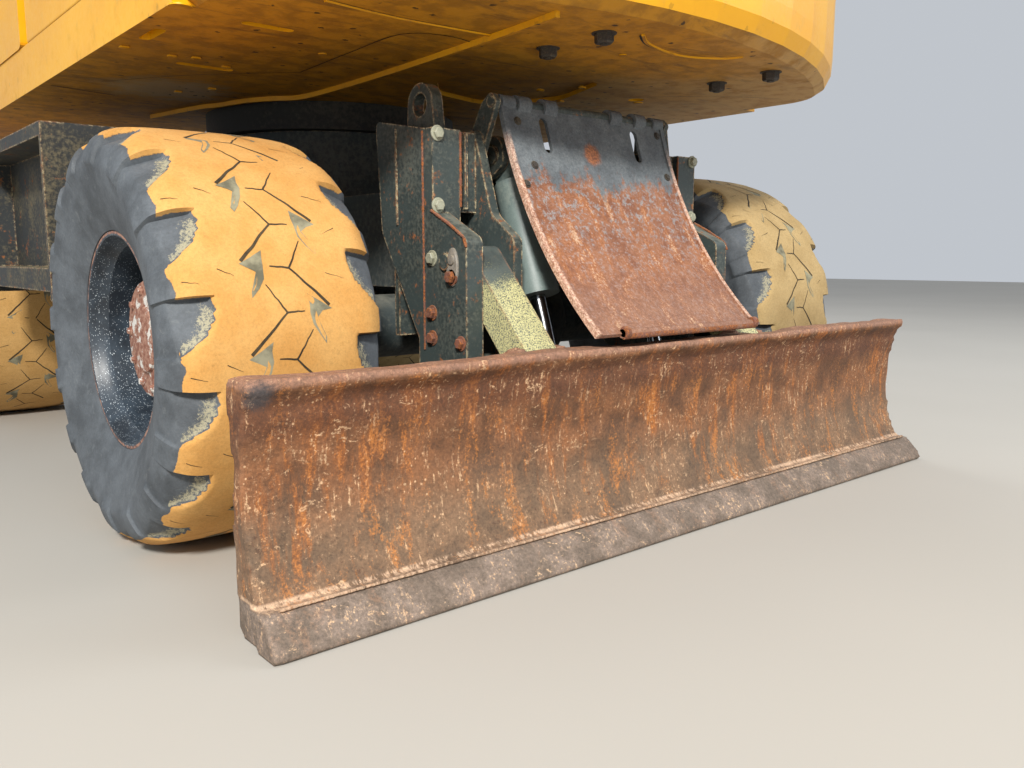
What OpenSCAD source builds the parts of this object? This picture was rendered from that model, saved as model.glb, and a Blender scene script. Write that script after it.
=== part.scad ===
// Wheeled excavator: carrier with dozer blade, slewing upper structure, boom, arm and bucket.
// Millimetres. X to the right, Y from the blade end to the boom end, Z up, wheels and blade on Z = 0.
// Outlines are lists of [a, b, corner radius]; side outlines are [y, z, r], plans are [x, y, r].

/* [Tyres and wheels] */
// Outer diameter of a tyre over its lugs
tyre_d = 1150; // [1110:5:1190]
// Width of a tyre over its sidewalls
tyre_w = 580; // [540:5:600]
// Height of the tread lugs over the casing
lug_h = 24; // [16:1:32]
// Lugs round each shoulder of a tyre
lug_count = 16; // [14:1:19]
// Depth of the rim flange inside the sidewall
rim_inset = 56; // [45:1:70]
// Outer diameter of the rim flange
rim_d = 598; // [570:2:620]
// Diameter of the hub drum in the middle of a rim
hub_d = 330; // [280:5:360]
// Depth of the hub face inside the rim flange
hub_depth = 76; // [50:2:110]
// Distance between the middles of the left and right tyres
track = 2255; // [2230:5:2290]

/* [Carrier] */
// Distance between the two axles
wheelbase = 2700; // [2650:10:2760]
// Distance from the slew axis to the axle at the blade end
blade_axle_y = 1220; // [1190:5:1250]
// Height of the underside of the carrier frame
frame_z = 700; // [680:5:730]
// Depth of the carrier frame box
frame_h = 330; // [300:5:350]
// Half width of the frame between the steered wheels
frame_front_half = 320; // [280:5:340]
// Half width of the frame at the blade end
frame_rear_half = 400; // [370:5:420]
// Outer radius of an axle tube
axle_tube_r = 105; // [90:5:120]
// Width of the carrier over its steps
steps_w = 2750; // [2700:5:2770]
// Height of the upper step tread
step_top_z = 1235; // [1180:5:1270]

/* [Blade] */
// Width of the blade
blade_w = 2780; // [2752:2:2820]
// Height of the blade
blade_h = 554; // [520:2:590]
// Radius of the hollow front of the blade
blade_r = 560; // [500:10:650]
// Distance from the slew axis to the cutting edge
blade_reach = 2200; // [2195:1:2240]
// Height of the wear strip along the cutting edge
edge_h = 85; // [70:1:110]
// Length of the blade's lower arms and upper links
link_len = 370; // [360:1:380]
// Fall of the arms and links below level with the blade on the ground
link_fall = 48; // [46:1:50]
// Width of the cylinder guard
guard_w = 744; // [700:4:780]
// Radius of the guard's curve
guard_r = 1370; // [1200:10:1600]

/* [Upper structure] */
// Height of the underside of the upper structure
deck_z = 1430; // [1400:5:1450]
// Depth of the deck
deck_h = 170; // [150:5:190]
// Width of the upper structure
upper_w = 2500; // [2460:10:2520]
// Radius of the counterweight's tail about the slew axis
tail_r = 2190; // [2160:2:2192]
// Height of the engine hood
hood_z = 2400; // [2350:10:2500]
// Width of the cab
cab_w = 915; // [880:5:920]
// Height of the cab roof
cab_z = 3180; // [3100:10:3260]
// Thickness of the cab walls and of its door
cab_wall = 45; // [35:1:55]

/* [Boom, arm and bucket] */
// Boom from its foot pin to its nose pin
boom_len = 4900; // [4800:10:5000]
// Half width of the boom's webs
boom_half = 160; // [150:2:165]
// Arm from the boom's nose pin to the bucket pin
arm_len = 2400; // [2300:10:2500]
// Half width of the arm's webs
arm_half = 98; // [90:1:100]
// Lean of the parked arm from upright, bucket end towards the cab
arm_lean = 15; // [12:0.5:18]
// Distance from the bucket pin to the tooth tips
tip_r = 1350; // [1320:5:1400]
// Width of the bucket over its side plates
bucket_w = 1100; // [1000:10:1200]
// Thickness of the bucket's shell
bucket_t = 22; // [16:1:28]
// Teeth along the bucket's lip
teeth = 5; // [3:1:7]

/* [Hidden] */
$fn = 48;
run = 0.3;           // running clearance at pins, bores and faces that move on each other
gap = 6;             // clearance between moving pieces elsewhere
eps = 0.01;

axle_z = tyre_d / 2;
rear_y = -blade_axle_y;
front_y = rear_y + wheelbase;
wheel_x = track / 2;
flange_x = wheel_x + tyre_w / 2 - rim_inset;
hub_x = flange_x - hub_depth;
frame_top = frame_z + frame_h;
frame_end = -1370;   // the carrier frame stops here, at the blade bracket
upper_half = upper_w / 2;
deck_top = deck_z + deck_h;

// Steering
kingpin_x = 715;
kingpin_r = 42;
steer_arm = 190;
steer_z = axle_z + 20;
rod_out = 205;       // steering rod beyond the axle
yoke_x = kingpin_x - 110;    // where the axle's end stops beside the knuckle

// Blade linkage: pins are [y, z]
link_top = [-1700, 790];
link_low = [-1700, 470];
link_step = [-link_len * cos(link_fall), -link_len * sin(link_fall)];
blade_pin_top = link_top + link_step;
blade_pin_low = link_low + link_step;
blade_pin_r = 24;
link_in = 425;       // sides of the links and arms
link_out = 540;
lug_t = 32;          // plates that hold the links' pins
link_boss = 46;
blade_cyl_x = 250;
blade_cyl_top = [-1560, 1120];
blade_cyl_low = [-1840, 280];
// Shortest pin distances of the cylinders
blade_cyl_shut = 635;
blade_barrel = 460;  // from its pin to the barrel's open end
boom_cyl_shut = 1300;
arm_cyl_shut = 1680;
bucket_cyl_shut = 1475;
guard_hinge = [-1655, 1262];
blade_lip = [-blade_reach + 100, blade_h];

// Boom, arm and bucket pins at rest
boom_foot = [330, 1990];
bucket_turn = -37;
tip_angle = 105;
pin_height = tip_r * sin(tip_angle - bucket_turn);
nose_z = pin_height + arm_len * cos(arm_lean);
boom_turn = asin((nose_z - boom_foot[1]) / boom_len);
boom_nose = boom_foot + boom_len * [cos(boom_turn), sin(boom_turn)];
arm_turn = -90 - arm_lean;
bucket_pin = boom_nose + arm_len * [cos(arm_turn), sin(arm_turn)];
foot_r = 55;
nose_r = 45;
pin_r = 40;
ear_x = 236;
ear_t = 45;
fork_x = 118;
boom_cyl_x = 255;
boom_cyl_base = [730, 1600];
boom_cyl_eye = [1720, 560];      // on the boom: along its pins' line, above it
arm_cyl_base = [2950, 850];      // on the boom
arm_cyl_eye = [-500, 215];       // on the arm
bucket_cyl_base = [60, 450];     // on the arm
rocker_pin = [arm_len - 440, 10];
rocker_len = 560;
bucket_link_len = 500;
bucket_link_pin = 400;           // bucket pin to link pin

// Middle of the whole machine along Y, which the origin stands under
rear_most = -blade_reach;
arm_tail = 155;      // how far the arm's tail reaches past its cylinder's eye
front_most = (boom_nose + turned(arm_cyl_eye, arm_turn))[0] + arm_tail;
mid_y = (rear_most + front_most) / 2;

// Functions
function unit(v) = v / norm(v);
function turned(p, a) = [p[0] * cos(a) - p[1] * sin(a), p[0] * sin(a) + p[1] * cos(a)];
function heading(p) = atan2(p[1], p[0]);
function lerp(p, q, t) = p + t * (q - p);
// Where circles of radius a round p and b round q meet, on the right of p to q
function meet(p, q, a, b) =
    let (d = norm(q - p), h = heading(q - p), c = acos((a * a + d * d - b * b) / (2 * a * d)))
    p + a * [cos(h - c), sin(h - c)];
// An outline with its corners rounded
function rounded(rows, steps = 5) = [
    for (i = [0 : len(rows) - 1])
        let (n = len(rows), p = [rows[i][0], rows[i][1]],
             a = rows[(i + n - 1) % n], b = rows[(i + 1) % n],
             u = unit([a[0], a[1]] - p), v = unit([b[0], b[1]] - p),
             half = acos(max(-1, min(1, u * v))) / 2, r = rows[i][2])
            for (q = r <= 0 ? [p] :
                let (c = p + unit(u + v) * r / sin(half), t = r / tan(half),
                     from = p + u * t - c, side = u[0] * v[1] - u[1] * v[0] > 0 ? -1 : 1)
                    [for (k = [0 : steps]) c + turned(from, side * (2 * half - 180) * k / steps * -1)])
                q];

// Shapes
module slab_x(rows, x0, x1, steps = 5)
    translate([x0, 0, 0]) rotate([90, 0, 90]) linear_extrude(x1 - x0) polygon(rounded(rows, steps));
module slab_y(rows, y0, y1, steps = 5)
    translate([0, y1, 0]) rotate([90, 0, 0]) linear_extrude(y1 - y0) polygon(rounded(rows, steps));
module plan(rows, z0, z1, steps = 5)
    translate([0, 0, z0]) linear_extrude(z1 - z0) polygon(rounded(rows, steps));
module block(lo, hi) translate(lo) cube(hi - lo);
module pin_x(p, x0, x1, r) translate([x0, p[0], p[1]]) rotate([0, 90, 0]) cylinder(h = x1 - x0, r = r);
module ring_x(p, x0, x1, r, bore) difference() {
    pin_x(p, x0, x1, r);
    pin_x(p, x0 - 1, x1 + 1, bore);
}
module post(x, y, z0, z1, r) translate([x, y, z0]) cylinder(h = z1 - z0, r = r);
module both() {
    children();
    mirror([1, 0, 0]) children();
}
// Turns and places what is drawn in a boom, arm or bucket's own Y and Z
module at(p, a) translate([0, p[0], p[1]]) rotate([a, 0, 0]) children();
// A round bar from point to point
module bar(p, q, r)
    translate(p) rotate([0, acos((q - p)[2] / norm(q - p)), atan2((q - p)[1], (q - p)[0])])
        cylinder(h = norm(q - p), r = r);
// A box section: webs inset under flanges that follow its outline
module box_section(rows, web, flange, plate) {
    slab_x(rows, -web, web);
    translate([-flange, 0, 0]) rotate([90, 0, 90]) linear_extrude(2 * flange) difference() {
        polygon(rounded(rows));
        offset(delta = -plate) polygon(rounded(rows));
    }
}
// A flat link from pin to pin, drawn along its own Y
module link_plate(length, w0, w1, x0, x1, bore)
    difference() {
        union() {
            pin_x([0, 0], x0, x1, w0);
            pin_x([length, 0], x0, x1, w1);
            slab_x([[0, -w0, 0], [length, -w1, 0], [length, w1, 0], [0, w0, 0]], x0, x1);
        }
        for (y = [0, length]) pin_x([y, 0], x0 - 1, x1 + 1, bore);
    }

// Wheels
module wheel_at(side, y)
    mirror([side > 0 ? 1 : 0, 0, 0]) translate([-wheel_x, y, axle_z]) rotate([0, -90, 0]) children();

// Drawn with its axle along Z and its outside up
module tyre() color("dimgray") {
    half = tyre_w / 2;
    r = tyre_d / 2;
    flange = rim_d / 2;
    bead = flange - 15 + run;
    seat = flange_x - wheel_x - 16 - run;
    edge = [[bead, seat, 0], [flange + 1, seat + 4, 0], [flange + 1, seat + 20, 4],
        [flange + 90, half - 20, 120], [r - 95, half, 60],
        [r - 50, half - 12, 30], [r - 8, half - 60, 60]];
    difference() {
        rotate_extrude() polygon(rounded(concat([for (p = edge) [p[0], -p[1], p[2]]], [[r, 0, 1500]],
            [for (i = [len(edge) - 1 : -1 : 0]) edge[i]]), 3));
        for (side = [-1, 1], i = [0 : lug_count - 1])
            rotate([0, 0, (i + notch_turn + (side > 0 ? 0 : 0.5)) * 360 / lug_count])
                translate([r - lug_h, 0, side * (half - notch_w)]) rotate([0, side * notch_fall, -notch_ramp])
                    rotate([90, 0, 90]) linear_extrude(100)
                        polygon([for (p = notch) [p[0], side * p[1]]]);
    }
}
// The gap between two shoulder lugs, [along the tread, out to the sidewall], steep on its first side
notch_w = 110;
notch_fall = 22;     // its floor falls outwards
notch_ramp = 9;      // and rises from its steep side
notch_turn = 0.62;   // its place round the tyre, in lugs
notch = [[0, 0], [0, 190], [-142, 190], [-138, 74], [-128, 62], [-100, 34], [-73, 10], [-30, -2]];
module rim() color("slategray") {
    half = flange_x - wheel_x;
    r = rim_d / 2;
    disc = hub_x - wheel_x - 60;
    difference() {
        union() {
            rotate_extrude() polygon([[r - 40, -half], [r, -half], [r, -half + 12], [r - 15, -half + 16],
                [r - 15, half - 16], [r, half - 12], [r, half], [r - 40, half]]);
            translate([0, 0, disc - 14]) cylinder(h = 22, r = r - 30);
            translate([0, 0, hub_x - wheel_x - hub_len]) cylinder(h = hub_len, r = hub_d / 2);
        }
        translate([0, 0, hub_x - wheel_x - hub_len - 1]) cylinder(h = hub_len - 40, r = hub_bore + run);
    }
}
hub_bore = 62;
hub_len = 170;
axle_end = hub_x - hub_len - gap;

// Carrier
module chassis_frame() color("#3c4444") {
    difference() {
        plan([[-frame_rear_half, frame_end, 20], [frame_rear_half, frame_end, 20], [frame_rear_half, 620, 60],
        [frame_front_half, 860, 60], [frame_front_half, 2080, 60], [-frame_front_half, 2080, 60],
        [-frame_front_half, 860, 60], [-frame_rear_half, 620, 60]], frame_z, frame_top);
        for (y = [rear_y, front_y]) pin_x([y, axle_z], -270, 270, housing_r + 10);
    }
    post(0, 0, frame_top - 1, deck_z - 110, 500);
}
module slew_ring() color("#2e3232") difference() {
    post(0, 0, deck_z - 110, deck_z - run, 560);
    post(0, 0, deck_z - 111, deck_z, 430);
}
module rear_axle() color("#33393a") {
    axle_body(rear_y, axle_end);
    both() spindle(rear_y);
}
housing_r = 215;
// Housing, tubes and end flanges turned in one, hung from the frame on two pads
module axle_body(y, end, flange_r = 150) {
    translate([0, y, axle_z]) rotate([0, 90, 0]) rotate_extrude() polygon([[0, -end], [flange_r, -end],
        [flange_r, -end + 60], [axle_tube_r, -end + 60], [axle_tube_r, -240],
        [housing_r - 25, -150], [housing_r, -60], [housing_r, 60], [housing_r - 25, 150],
        [axle_tube_r, 240], [axle_tube_r, end - 60],
        [flange_r, end - 60], [flange_r, end], [0, end]]);
    for (s = [-1, 1]) block([s * 280 - 70, y - 90, axle_z + 20], [s * 280 + 70, y + 90, frame_z]);
}
module spindle(y)
    translate([axle_end - 1, y, axle_z]) rotate([0, 90, 0]) cylinder(h = hub_len - 50, r = hub_bore);
module front_axle() color("#33393a") {
    difference() {
        union() {
            axle_body(front_y, yoke_x, axle_tube_r - 5);
            both() {
                for (z = [-130, 95]) plan([[yoke_x - 40, front_y - 75, 0], [kingpin_x + 76, front_y - 75, 74],
                    [kingpin_x + 76, front_y + 75, 74], [yoke_x - 40, front_y + 75, 0]],
                    axle_z + z, axle_z + z + 35);
                post(kingpin_x, front_y, axle_z - 100, axle_z + 100, kingpin_r);
            }
            pin_x([front_y + rod_out, steer_z], -220, 220, 48);
            block([-60, front_y, steer_z - 30], [60, front_y + rod_out, steer_z + 30]);
        }
        pin_x([front_y + rod_out, steer_z], -500, 500, 25 + run);
    }
}
module knuckle(side) color("#2f3535") mirror([side < 0 ? 1 : 0, 0, 0]) {
    difference() {
        union() {
            post(kingpin_x, front_y, axle_z - 95 + run, axle_z + 95 - run, 92);
            translate([kingpin_x + 20, front_y, axle_z]) rotate([0, 90, 0])
                cylinder(h = axle_end - kingpin_x - 20, r = 88);
            translate([axle_end - 50, front_y, axle_z]) rotate([0, 90, 0]) cylinder(h = 50, r = 150);
            spindle(front_y);
            block([kingpin_x - 28, front_y + 60, steer_z + 31],
                [kingpin_x + 28, front_y + steer_arm + 40, steer_z + 59]);
        }
        post(kingpin_x, front_y, axle_z - 200, axle_z + 200, kingpin_r + run);
        post(kingpin_x, front_y + steer_arm, axle_z - 200, axle_z + 200, 16);
    }
}
module steering_rod() color("silver") {
    reach = kingpin_x - 10;
    pin_x([front_y + rod_out, steer_z], -reach, reach, 25);
}
module drive_line() color("#2b2f30") {
    block([-230, -330, 520], [230, 330, frame_z]);
    bar([0, 329, 600], [0, front_y - housing_r - run, axle_z], 45);
    bar([0, -329, 600], [0, rear_y + housing_r + run, axle_z], 45);
}
tread_step = 60;     // serrations of the upper tread
module step_box(side) color("#3a4142") mirror([side < 0 ? 1 : 0, 0, 0]) {
    out = steps_w / 2;
    block([frame_rear_half + run, -420, 780], [521, 420, 980]);
    block([520, -520, 740], [out - 130, 540, step_top_z - 45]);
    difference() {
        block([frame_rear_half + 200, -580, step_top_z - 45], [out, 560, step_top_z]);
        for (y = [-520 : tread_step : 500])
            block([out - 170, y, step_top_z - 12], [out - 30, y + 22, step_top_z + 1]);
    }
    block([out - 190, -580, 660], [out, -560, step_top_z]);
    block([out - 190, 540, 660], [out, 560, step_top_z]);
    block([out - 131, -560, 690], [out, 540, 768]);
}
// Side plate, channel and clevis on each side, joined by a cross plate that carries the cylinders
module blade_bracket() color("#39403f") {
    clevis = [[-1630, 936, 0], [-1795, 855, 30], [-1795, 410, 30], [-1560, 410, 30], [-1560, 936, 0]];
    wing_x = 600;
    both() {
        slab_x([[frame_end + 31, 1219, 20], [frame_end + 5, 880, 30], [-1585, 520, 20], [-1640, 520, 0],
            [-1640, 1171, 0], [-1606, 1171, 0]], wing_x - 18, wing_x);
        block([link_out + run - 40, -1640, 520], [wing_x, -1616, 1171]);
        slab_x([[frame_end, 1180, 0], [frame_end, 480, 60], [-1560, 410, 30], [-1795, 410, 30],
            [-1795, 855, 30], [-1690, 930, 60], [-1610, 1180, 20]], link_in - run - lug_t, link_in - run);
        difference() {
            slab_x(clevis, link_out + run, wing_x);
            for (p = [link_top, link_low]) pin_x(p, link_out - 1, wing_x + 1, blade_pin_r);
        }
        for (p = [link_top, link_low]) pin_x(p, link_in - run - lug_t - 8, wing_x + 8, blade_pin_r);
        block([link_in - run - 1, -1616, 936], [wing_x - 17, -1590, 1171]);
        block([link_in - run - 1, frame_end - 60, 560], [wing_x - 17, frame_end - 36, 1171]);
        for (x = [blade_cyl_x - 62, blade_cyl_x + 38])
            slab_x([[frame_end - 10, 1010, 0], [frame_end - 10, 1180, 0],
                [blade_cyl_top[0] - 40, blade_cyl_top[1] + 60, 50],
                [blade_cyl_top[0] - 56, blade_cyl_top[1] - 30, 40],
                [blade_cyl_top[0] + 10, blade_cyl_top[1] - 70, 40]], x, x + 24);
        pin_x(blade_cyl_top, blade_cyl_x - 70, blade_cyl_x + 70, 28);
        eye();
        difference() {
            slab_x([[-1600, 1090, 0], [-1560, 1090, 0], [-1560, 1180, 0], [-1610, 1262, 20],
                [guard_hinge[0], guard_hinge[1] + 30, 16], [guard_hinge[0] - 26, guard_hinge[1], 12]],
                guard_half + 4, guard_half + 24);
            pin_x(guard_hinge, 0, 600, 16);
        }
    }
    pin_x(guard_hinge, -guard_half - 28, guard_half + 28, 16);
    block([-link_in + lug_t, frame_end - 40, 745], [link_in - lug_t, frame_end - run, 1180]);
}
// Lifting eye on top of the bracket
module eye() difference() {
    union() {
        pin_x(eye_at, eye_x, eye_x + 40, 64);
        slab_x([[eye_at[0] - 64, eye_at[1], 0], [eye_at[0] - 90, 1080, 0], [frame_end - 50, 1080, 0],
            [eye_at[0] + 64, eye_at[1], 0]], eye_x, eye_x + 40);
    }
    pin_x(eye_at, eye_x - 1, eye_x + 41, 34);
}
eye_x = 500;
eye_at = [-1493, 1256];
guard_half = guard_w / 2;
guard_chord = 790;   // from the guard's top to its foot, and how far that leans from upright
guard_lean = 31.75;
guard_from = guard_lean - asin(guard_chord / 2 / guard_r);
guard_to = guard_lean + asin(guard_chord / 2 / guard_r);
guard_t = 12;
guard_bar = 13;
guard_centre = guard_hinge + [-guard_t - guard_r * cos(guard_from), guard_r * sin(guard_from)];
guard_foot = guard_centre + guard_r * [cos(guard_to), -sin(guard_to)];
guard_rim = 18;      // raised edge down each side
guard_knuckles = [-280, -172, 125, 246];
module guard_arc(x0, x1, r) translate([x0, guard_centre[0], guard_centre[1]])
    rotate([90, 0, 90]) linear_extrude(x1 - x0) intersection() {
        difference() {
            circle(r = guard_r + guard_t, $fn = 96);
            circle(r = r, $fn = 96);
        }
        polygon([[0, 0], 2 * guard_r * [cos(guard_to), -sin(guard_to)],
            2 * guard_r * [cos(guard_from - 0.6), -sin(guard_from - 0.6)]]);
    }
module cylinder_guard() color("#7a4b33") {
    half = guard_half;
    difference() {
        union() {
            guard_arc(-half, half, guard_r);
            both() guard_arc(half - guard_rim, half, guard_r - 5);
            both() pin_x(guard_hinge, half - 56, half - 4, 24);
            for (x = guard_knuckles) pin_x(guard_hinge, x - 26, x + 26, 28);
            pin_x(guard_foot, -half + 100, half, guard_bar);
        }
        for (x = [-0.28 * guard_w, 0.28 * guard_w]) hull() for (z = [-125, -50])
            translate([x, -1800, guard_hinge[1] + z]) rotate([-90, 0, 0]) cylinder(h = 200, r = 17, $fn = 24);
        pin_x(guard_hinge, -half - 1, half + 1, 16 + run);
    }
}
module blade_arms() color("#39403f") both() at(link_low, 180 + link_fall)
    link_plate(link_len, link_boss, link_boss, link_in, link_out, blade_pin_r + run);
module blade_links() color("#6d7062") both() at(link_top, 180 + link_fall)
    link_plate(link_len, link_boss, link_boss, link_in, link_out, blade_pin_r + run);
module blade() color("#7b452c") {
    half = blade_w / 2 - strip_over;
    back = [blade_lip[0] + 110, blade_h];
    c = [-blade_reach + 100 - sqrt(blade_r * blade_r - pow(blade_h * 0.42, 2)), blade_h * 0.58];
    difference() {
        union() {
            slab_x([[-blade_reach, 0, 3], [-blade_reach + 40, 0, 0], [-blade_reach + 190, 60, 30],
                [-blade_reach + 190, 380, 60], [back[0], back[1], 20], [blade_lip[0], back[1], 14],
                [blade_lip[0] - 20, blade_h * 0.58, 0], [-blade_reach, 20, 0]], -half, half);
            both() slab_x([[-blade_reach + 60, 0, 0], [-blade_reach + 190, 0, 10],
                [-blade_reach + 212, 170, 80], [-blade_reach + 180, 400, 60], [-blade_reach + 60, 440, 0]],
                half - 16, half);
        }
        pin_x(c, -half - 1, half + 1, blade_r);
    }
    slab_x([[-blade_reach, 0, 3], [-blade_reach + 90, 0, 0], [-blade_reach + 125, edge_h, 0],
        [-blade_reach + 66, edge_h, 6], [-blade_reach + 38, edge_h - 22, 0], [-blade_reach, 16, 0]],
        -blade_w / 2, blade_w / 2);
    skin = -blade_reach + 180;
    both() {
        for (x = [link_in - run - lug_t, link_out + run])
            slab_x([[skin, 60, 0], [blade_pin_low[0] + 10, blade_pin_low[1] - link_boss, 0],
                [blade_pin_low[0] + link_boss, blade_pin_low[1] - 30, 30],
                [blade_pin_top[0] + link_boss, blade_pin_top[1] + 20, 40],
                [blade_pin_top[0] - 10, blade_pin_top[1] + link_boss, 30], [skin, blade_pin_top[1] + 20, 0]],
                x, x + lug_t);
        for (p = [blade_pin_low, blade_pin_top])
            pin_x(p, link_in - run - lug_t - 8, link_out + run + lug_t + 8, blade_pin_r);
        for (x = [blade_cyl_x - 72, blade_cyl_x + 42])
            slab_x([[skin, 100, 0], [blade_cyl_low[0] - 20, blade_cyl_low[1] - 70, 30],
                [blade_cyl_low[0] + 60, blade_cyl_low[1] - 20, 50],
                [blade_cyl_low[0] + 30, blade_cyl_low[1] + 60, 50],
                [skin, 420, 0]], x, x + 30);
    }
}
strip_over = 10;     // the wear strip reaches past the blade's ends
module blade_barrels() color("#59625f") both() cylinder_barrel(blade_cyl_top, blade_cyl_low, blade_cyl_x,
    28, 34, 62, 24, blade_cyl_shut, blade_barrel);
module blade_rods() color("silver") both() cylinder_rod(blade_cyl_top, blade_cyl_low, blade_cyl_x,
    28, 34, 62, 24, blade_cyl_shut);

// A cylinder's barrel, from its pin p toward the rod's eye at q; shut is its shortest pin distance
module cylinder_barrel(p, q, x, pin, half, r, rod, shut, tube = 0) {
    neck = r + pin;
    length = tube > 0 ? tube : shut - 1.8 * pin - 15;
    translate([x, 0, 0]) at(p, heading(q - p)) difference() {
        union() {
            pin_x([0, 0], -half, half, pin * 1.9);
            slab_x([[0, -pin * 1.5, 0], [neck + 20, -pin * 1.5, 0], [neck + 20, pin * 1.5, 0],
                [0, pin * 1.5, 0]], -half, half);
            translate([0, neck, 0]) rotate([-90, 0, 0]) cylinder(h = length - neck, r = r);
            translate([0, length - 60, 0]) rotate([-90, 0, 0]) cylinder(h = 60, r = r + 8);
        }
        pin_x([0, 0], -half - 1, half + 1, pin + run);
        translate([0, neck + 30, 0]) rotate([-90, 0, 0]) cylinder(h = length, r = rod + run);
    }
}
// Its rod, with a blind eye that ends clear of the lugs it works between
module cylinder_rod(p, q, x, pin, half, r, rod, shut) {
    d = norm(q - p);
    start = r + pin + 45 + d - shut;
    translate([x, 0, 0]) at(p, heading(q - p)) {
        translate([0, start, 0]) rotate([-90, 0, 0]) cylinder(h = d - start, r = rod);
        pin_x([d, 0], -half, half, pin * 1.8);
    }
}

// Upper structure
module upper_frame() color("#e8a80c") {
    difference() {
        plan([[-upper_half, tail_front + run, 0], [upper_half, tail_front + run, 0], [upper_half, 1500, 60],
            [360, 1500, 40], [330, 630, 40], [-330, 630, 40], [-330, 1720, 40], [-upper_half, 1720, 80]],
            deck_z, deck_top);
        belly_pockets();
    }
    both() {
        slab_x([[-420, deck_top - 1, 0], [640, deck_top - 1, 0], [boom_foot[0] + 150, boom_foot[1], 60],
            [boom_foot[0] + 60, boom_foot[1] + 150, 80], [boom_foot[0] - 150, boom_foot[1] + 110, 80],
            [-60, 1860, 100]], ear_x, ear_x + ear_t);
        for (x = [boom_cyl_x - 55, boom_cyl_x + 33])
            slab_x([[600, 1450, 0], [boom_cyl_base[0] + 60, 1450, 40],
                [boom_cyl_base[0] + 66, boom_cyl_base[1] + 60, 64],
                [boom_cyl_base[0] - 70, boom_cyl_base[1] + 66, 60], [600, deck_top, 0]], x, x + 22);
        pin_x(boom_cyl_base, boom_cyl_x - 60, boom_cyl_x + 60, pin_r);
    }
    block([-300, 690, deck_z], [300, 760, deck_z + 80]);
    block([-upper_half + 110, hood_hinge[0] + 12, deck_top - 1],
        [upper_half - 110, hood_hinge[0] + 30, hood_hinge[1] - 30]);
    for (x = [-800, 700]) {
        for (dx = [0, 76]) slab_x([[hood_hinge[0] + 28, hood_hinge[1] - 60, 0],
            [hood_hinge[0] + 28, hood_hinge[1], 0], [hood_hinge[0], hood_hinge[1] + 18, 14],
            [hood_hinge[0] - 16, hood_hinge[1], 14],
            [hood_hinge[0] + 13, hood_hinge[1] - 60, 0]], x + dx, x + dx + 14);
        pin_x(hood_hinge, x, x + 90, 9);
    }
    pin_x(boom_foot, -ear_x - ear_t - 12, ear_x + ear_t + 12, foot_r);
}
// Shallow pockets and holes in the underside of the deck
module belly_pockets() {
    deep = deck_z + pocket_deep;
    plan([[-20, -880, 120], [-240, -1160, 200], [-70, -1432, 180], [300, -1438, 60], [420, -1100, 200],
        [300, -800, 150]], deck_z - 1, deep);
    for (p = [[-967, -1387, 150, 36], [-906, -777, 190, 40], [-1242 + 60, -1096, 36, 150]])
        plan([[p[0] - p[2] / 2, p[1] - p[3] / 2, 17], [p[0] + p[2] / 2, p[1] - p[3] / 2, 17],
            [p[0] + p[2] / 2, p[1] + p[3] / 2, 17], [p[0] - p[2] / 2, p[1] + p[3] / 2, 17]],
            deck_z - 1, deck_z + 60);
    post(646, -1303, deck_z - 1, deck_z + 60, 32);
}
pocket_deep = 16;
tail_front = -1450;
hood_hinge = [-250, hood_z - 40];
tail_corner = 220;
// Plan of the counterweight, drawn in by an inset on its curved sides
function tail_plan(inset) =
    let (r = tail_r - inset, c = tail_corner, cx = upper_half - inset - c,
         cy = sqrt(pow(r - c, 2) - cx * cx), a = heading([cx, cy]))
    concat([[-cx - c, tail_front], [-cx - c, -cy]],
        [for (k = [1 : 6]) [-cx, -cy] - c * [cos(a * k / 6), sin(a * k / 6)]],
        [for (k = [1 : 11]) let (t = a + (180 - 2 * a) * k / 12) -r * [cos(t), sin(t)]],
        [for (k = [6 : -1 : 1]) [cx, -cy] - c * [-cos(a * k / 6), sin(a * k / 6)]],
        [[cx + c, -cy], [cx + c, tail_front]]);
// Skins a stack of plans, each row [height, inset]
module tail_stack(rows) {
    rings = [for (row = rows) [for (p = tail_plan(row[1])) [p[0], p[1], row[0]]]];
    n = len(rings[0]);
    top = len(rings) - 1;
    polyhedron(
        [for (ring = rings, p = ring) p],
        concat([[for (i = [0 : n - 1]) i]], [[for (i = [n - 1 : -1 : 0]) top * n + i]],
            [for (k = [0 : top - 1], i = [0 : n - 1]) let (j = (i + 1) % n)
                [k * n + j, k * n + i, (k + 1) * n + i, (k + 1) * n + j]]));
}
module counterweight() color("#efb010")
    tail_stack([[deck_z, 60], [deck_z + 25, 25], [deck_z + 70, 4], [deck_z + 130, 0], [hood_z - 60, 0],
        [hood_z - 20, 14], [hood_z, 40]]);
module engine() color("#4a4d4c") block([-420, -1350, deck_top], [420, -450, deck_top + 620]);
louvres = 8;
louvre_step = 52;
louvre_h = 22;
module side_panel(side) color("#efb010") mirror([side < 0 ? 1 : 0, 0, 0]) {
    end = side < 0 ? 60 : 400;
    difference() {
        slab_y([[upper_half - 40, deck_top + run, 0], [upper_half, deck_top + run, 10],
            [upper_half, hood_z - 130, 90], [upper_half - 60, hood_z - 30, 20],
            [upper_half - 95, hood_z - 50, 10], [upper_half - 40, hood_z - 140, 60]], tail_front + gap, end);
        for (y = [-1340, -860], i = [0 : louvres - 1])
            block([upper_half - 60, y, deck_top + 130 + i * louvre_step],
                [upper_half + 1, y + 400, deck_top + 130 + i * louvre_step + louvre_h]);
    }
}
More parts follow.
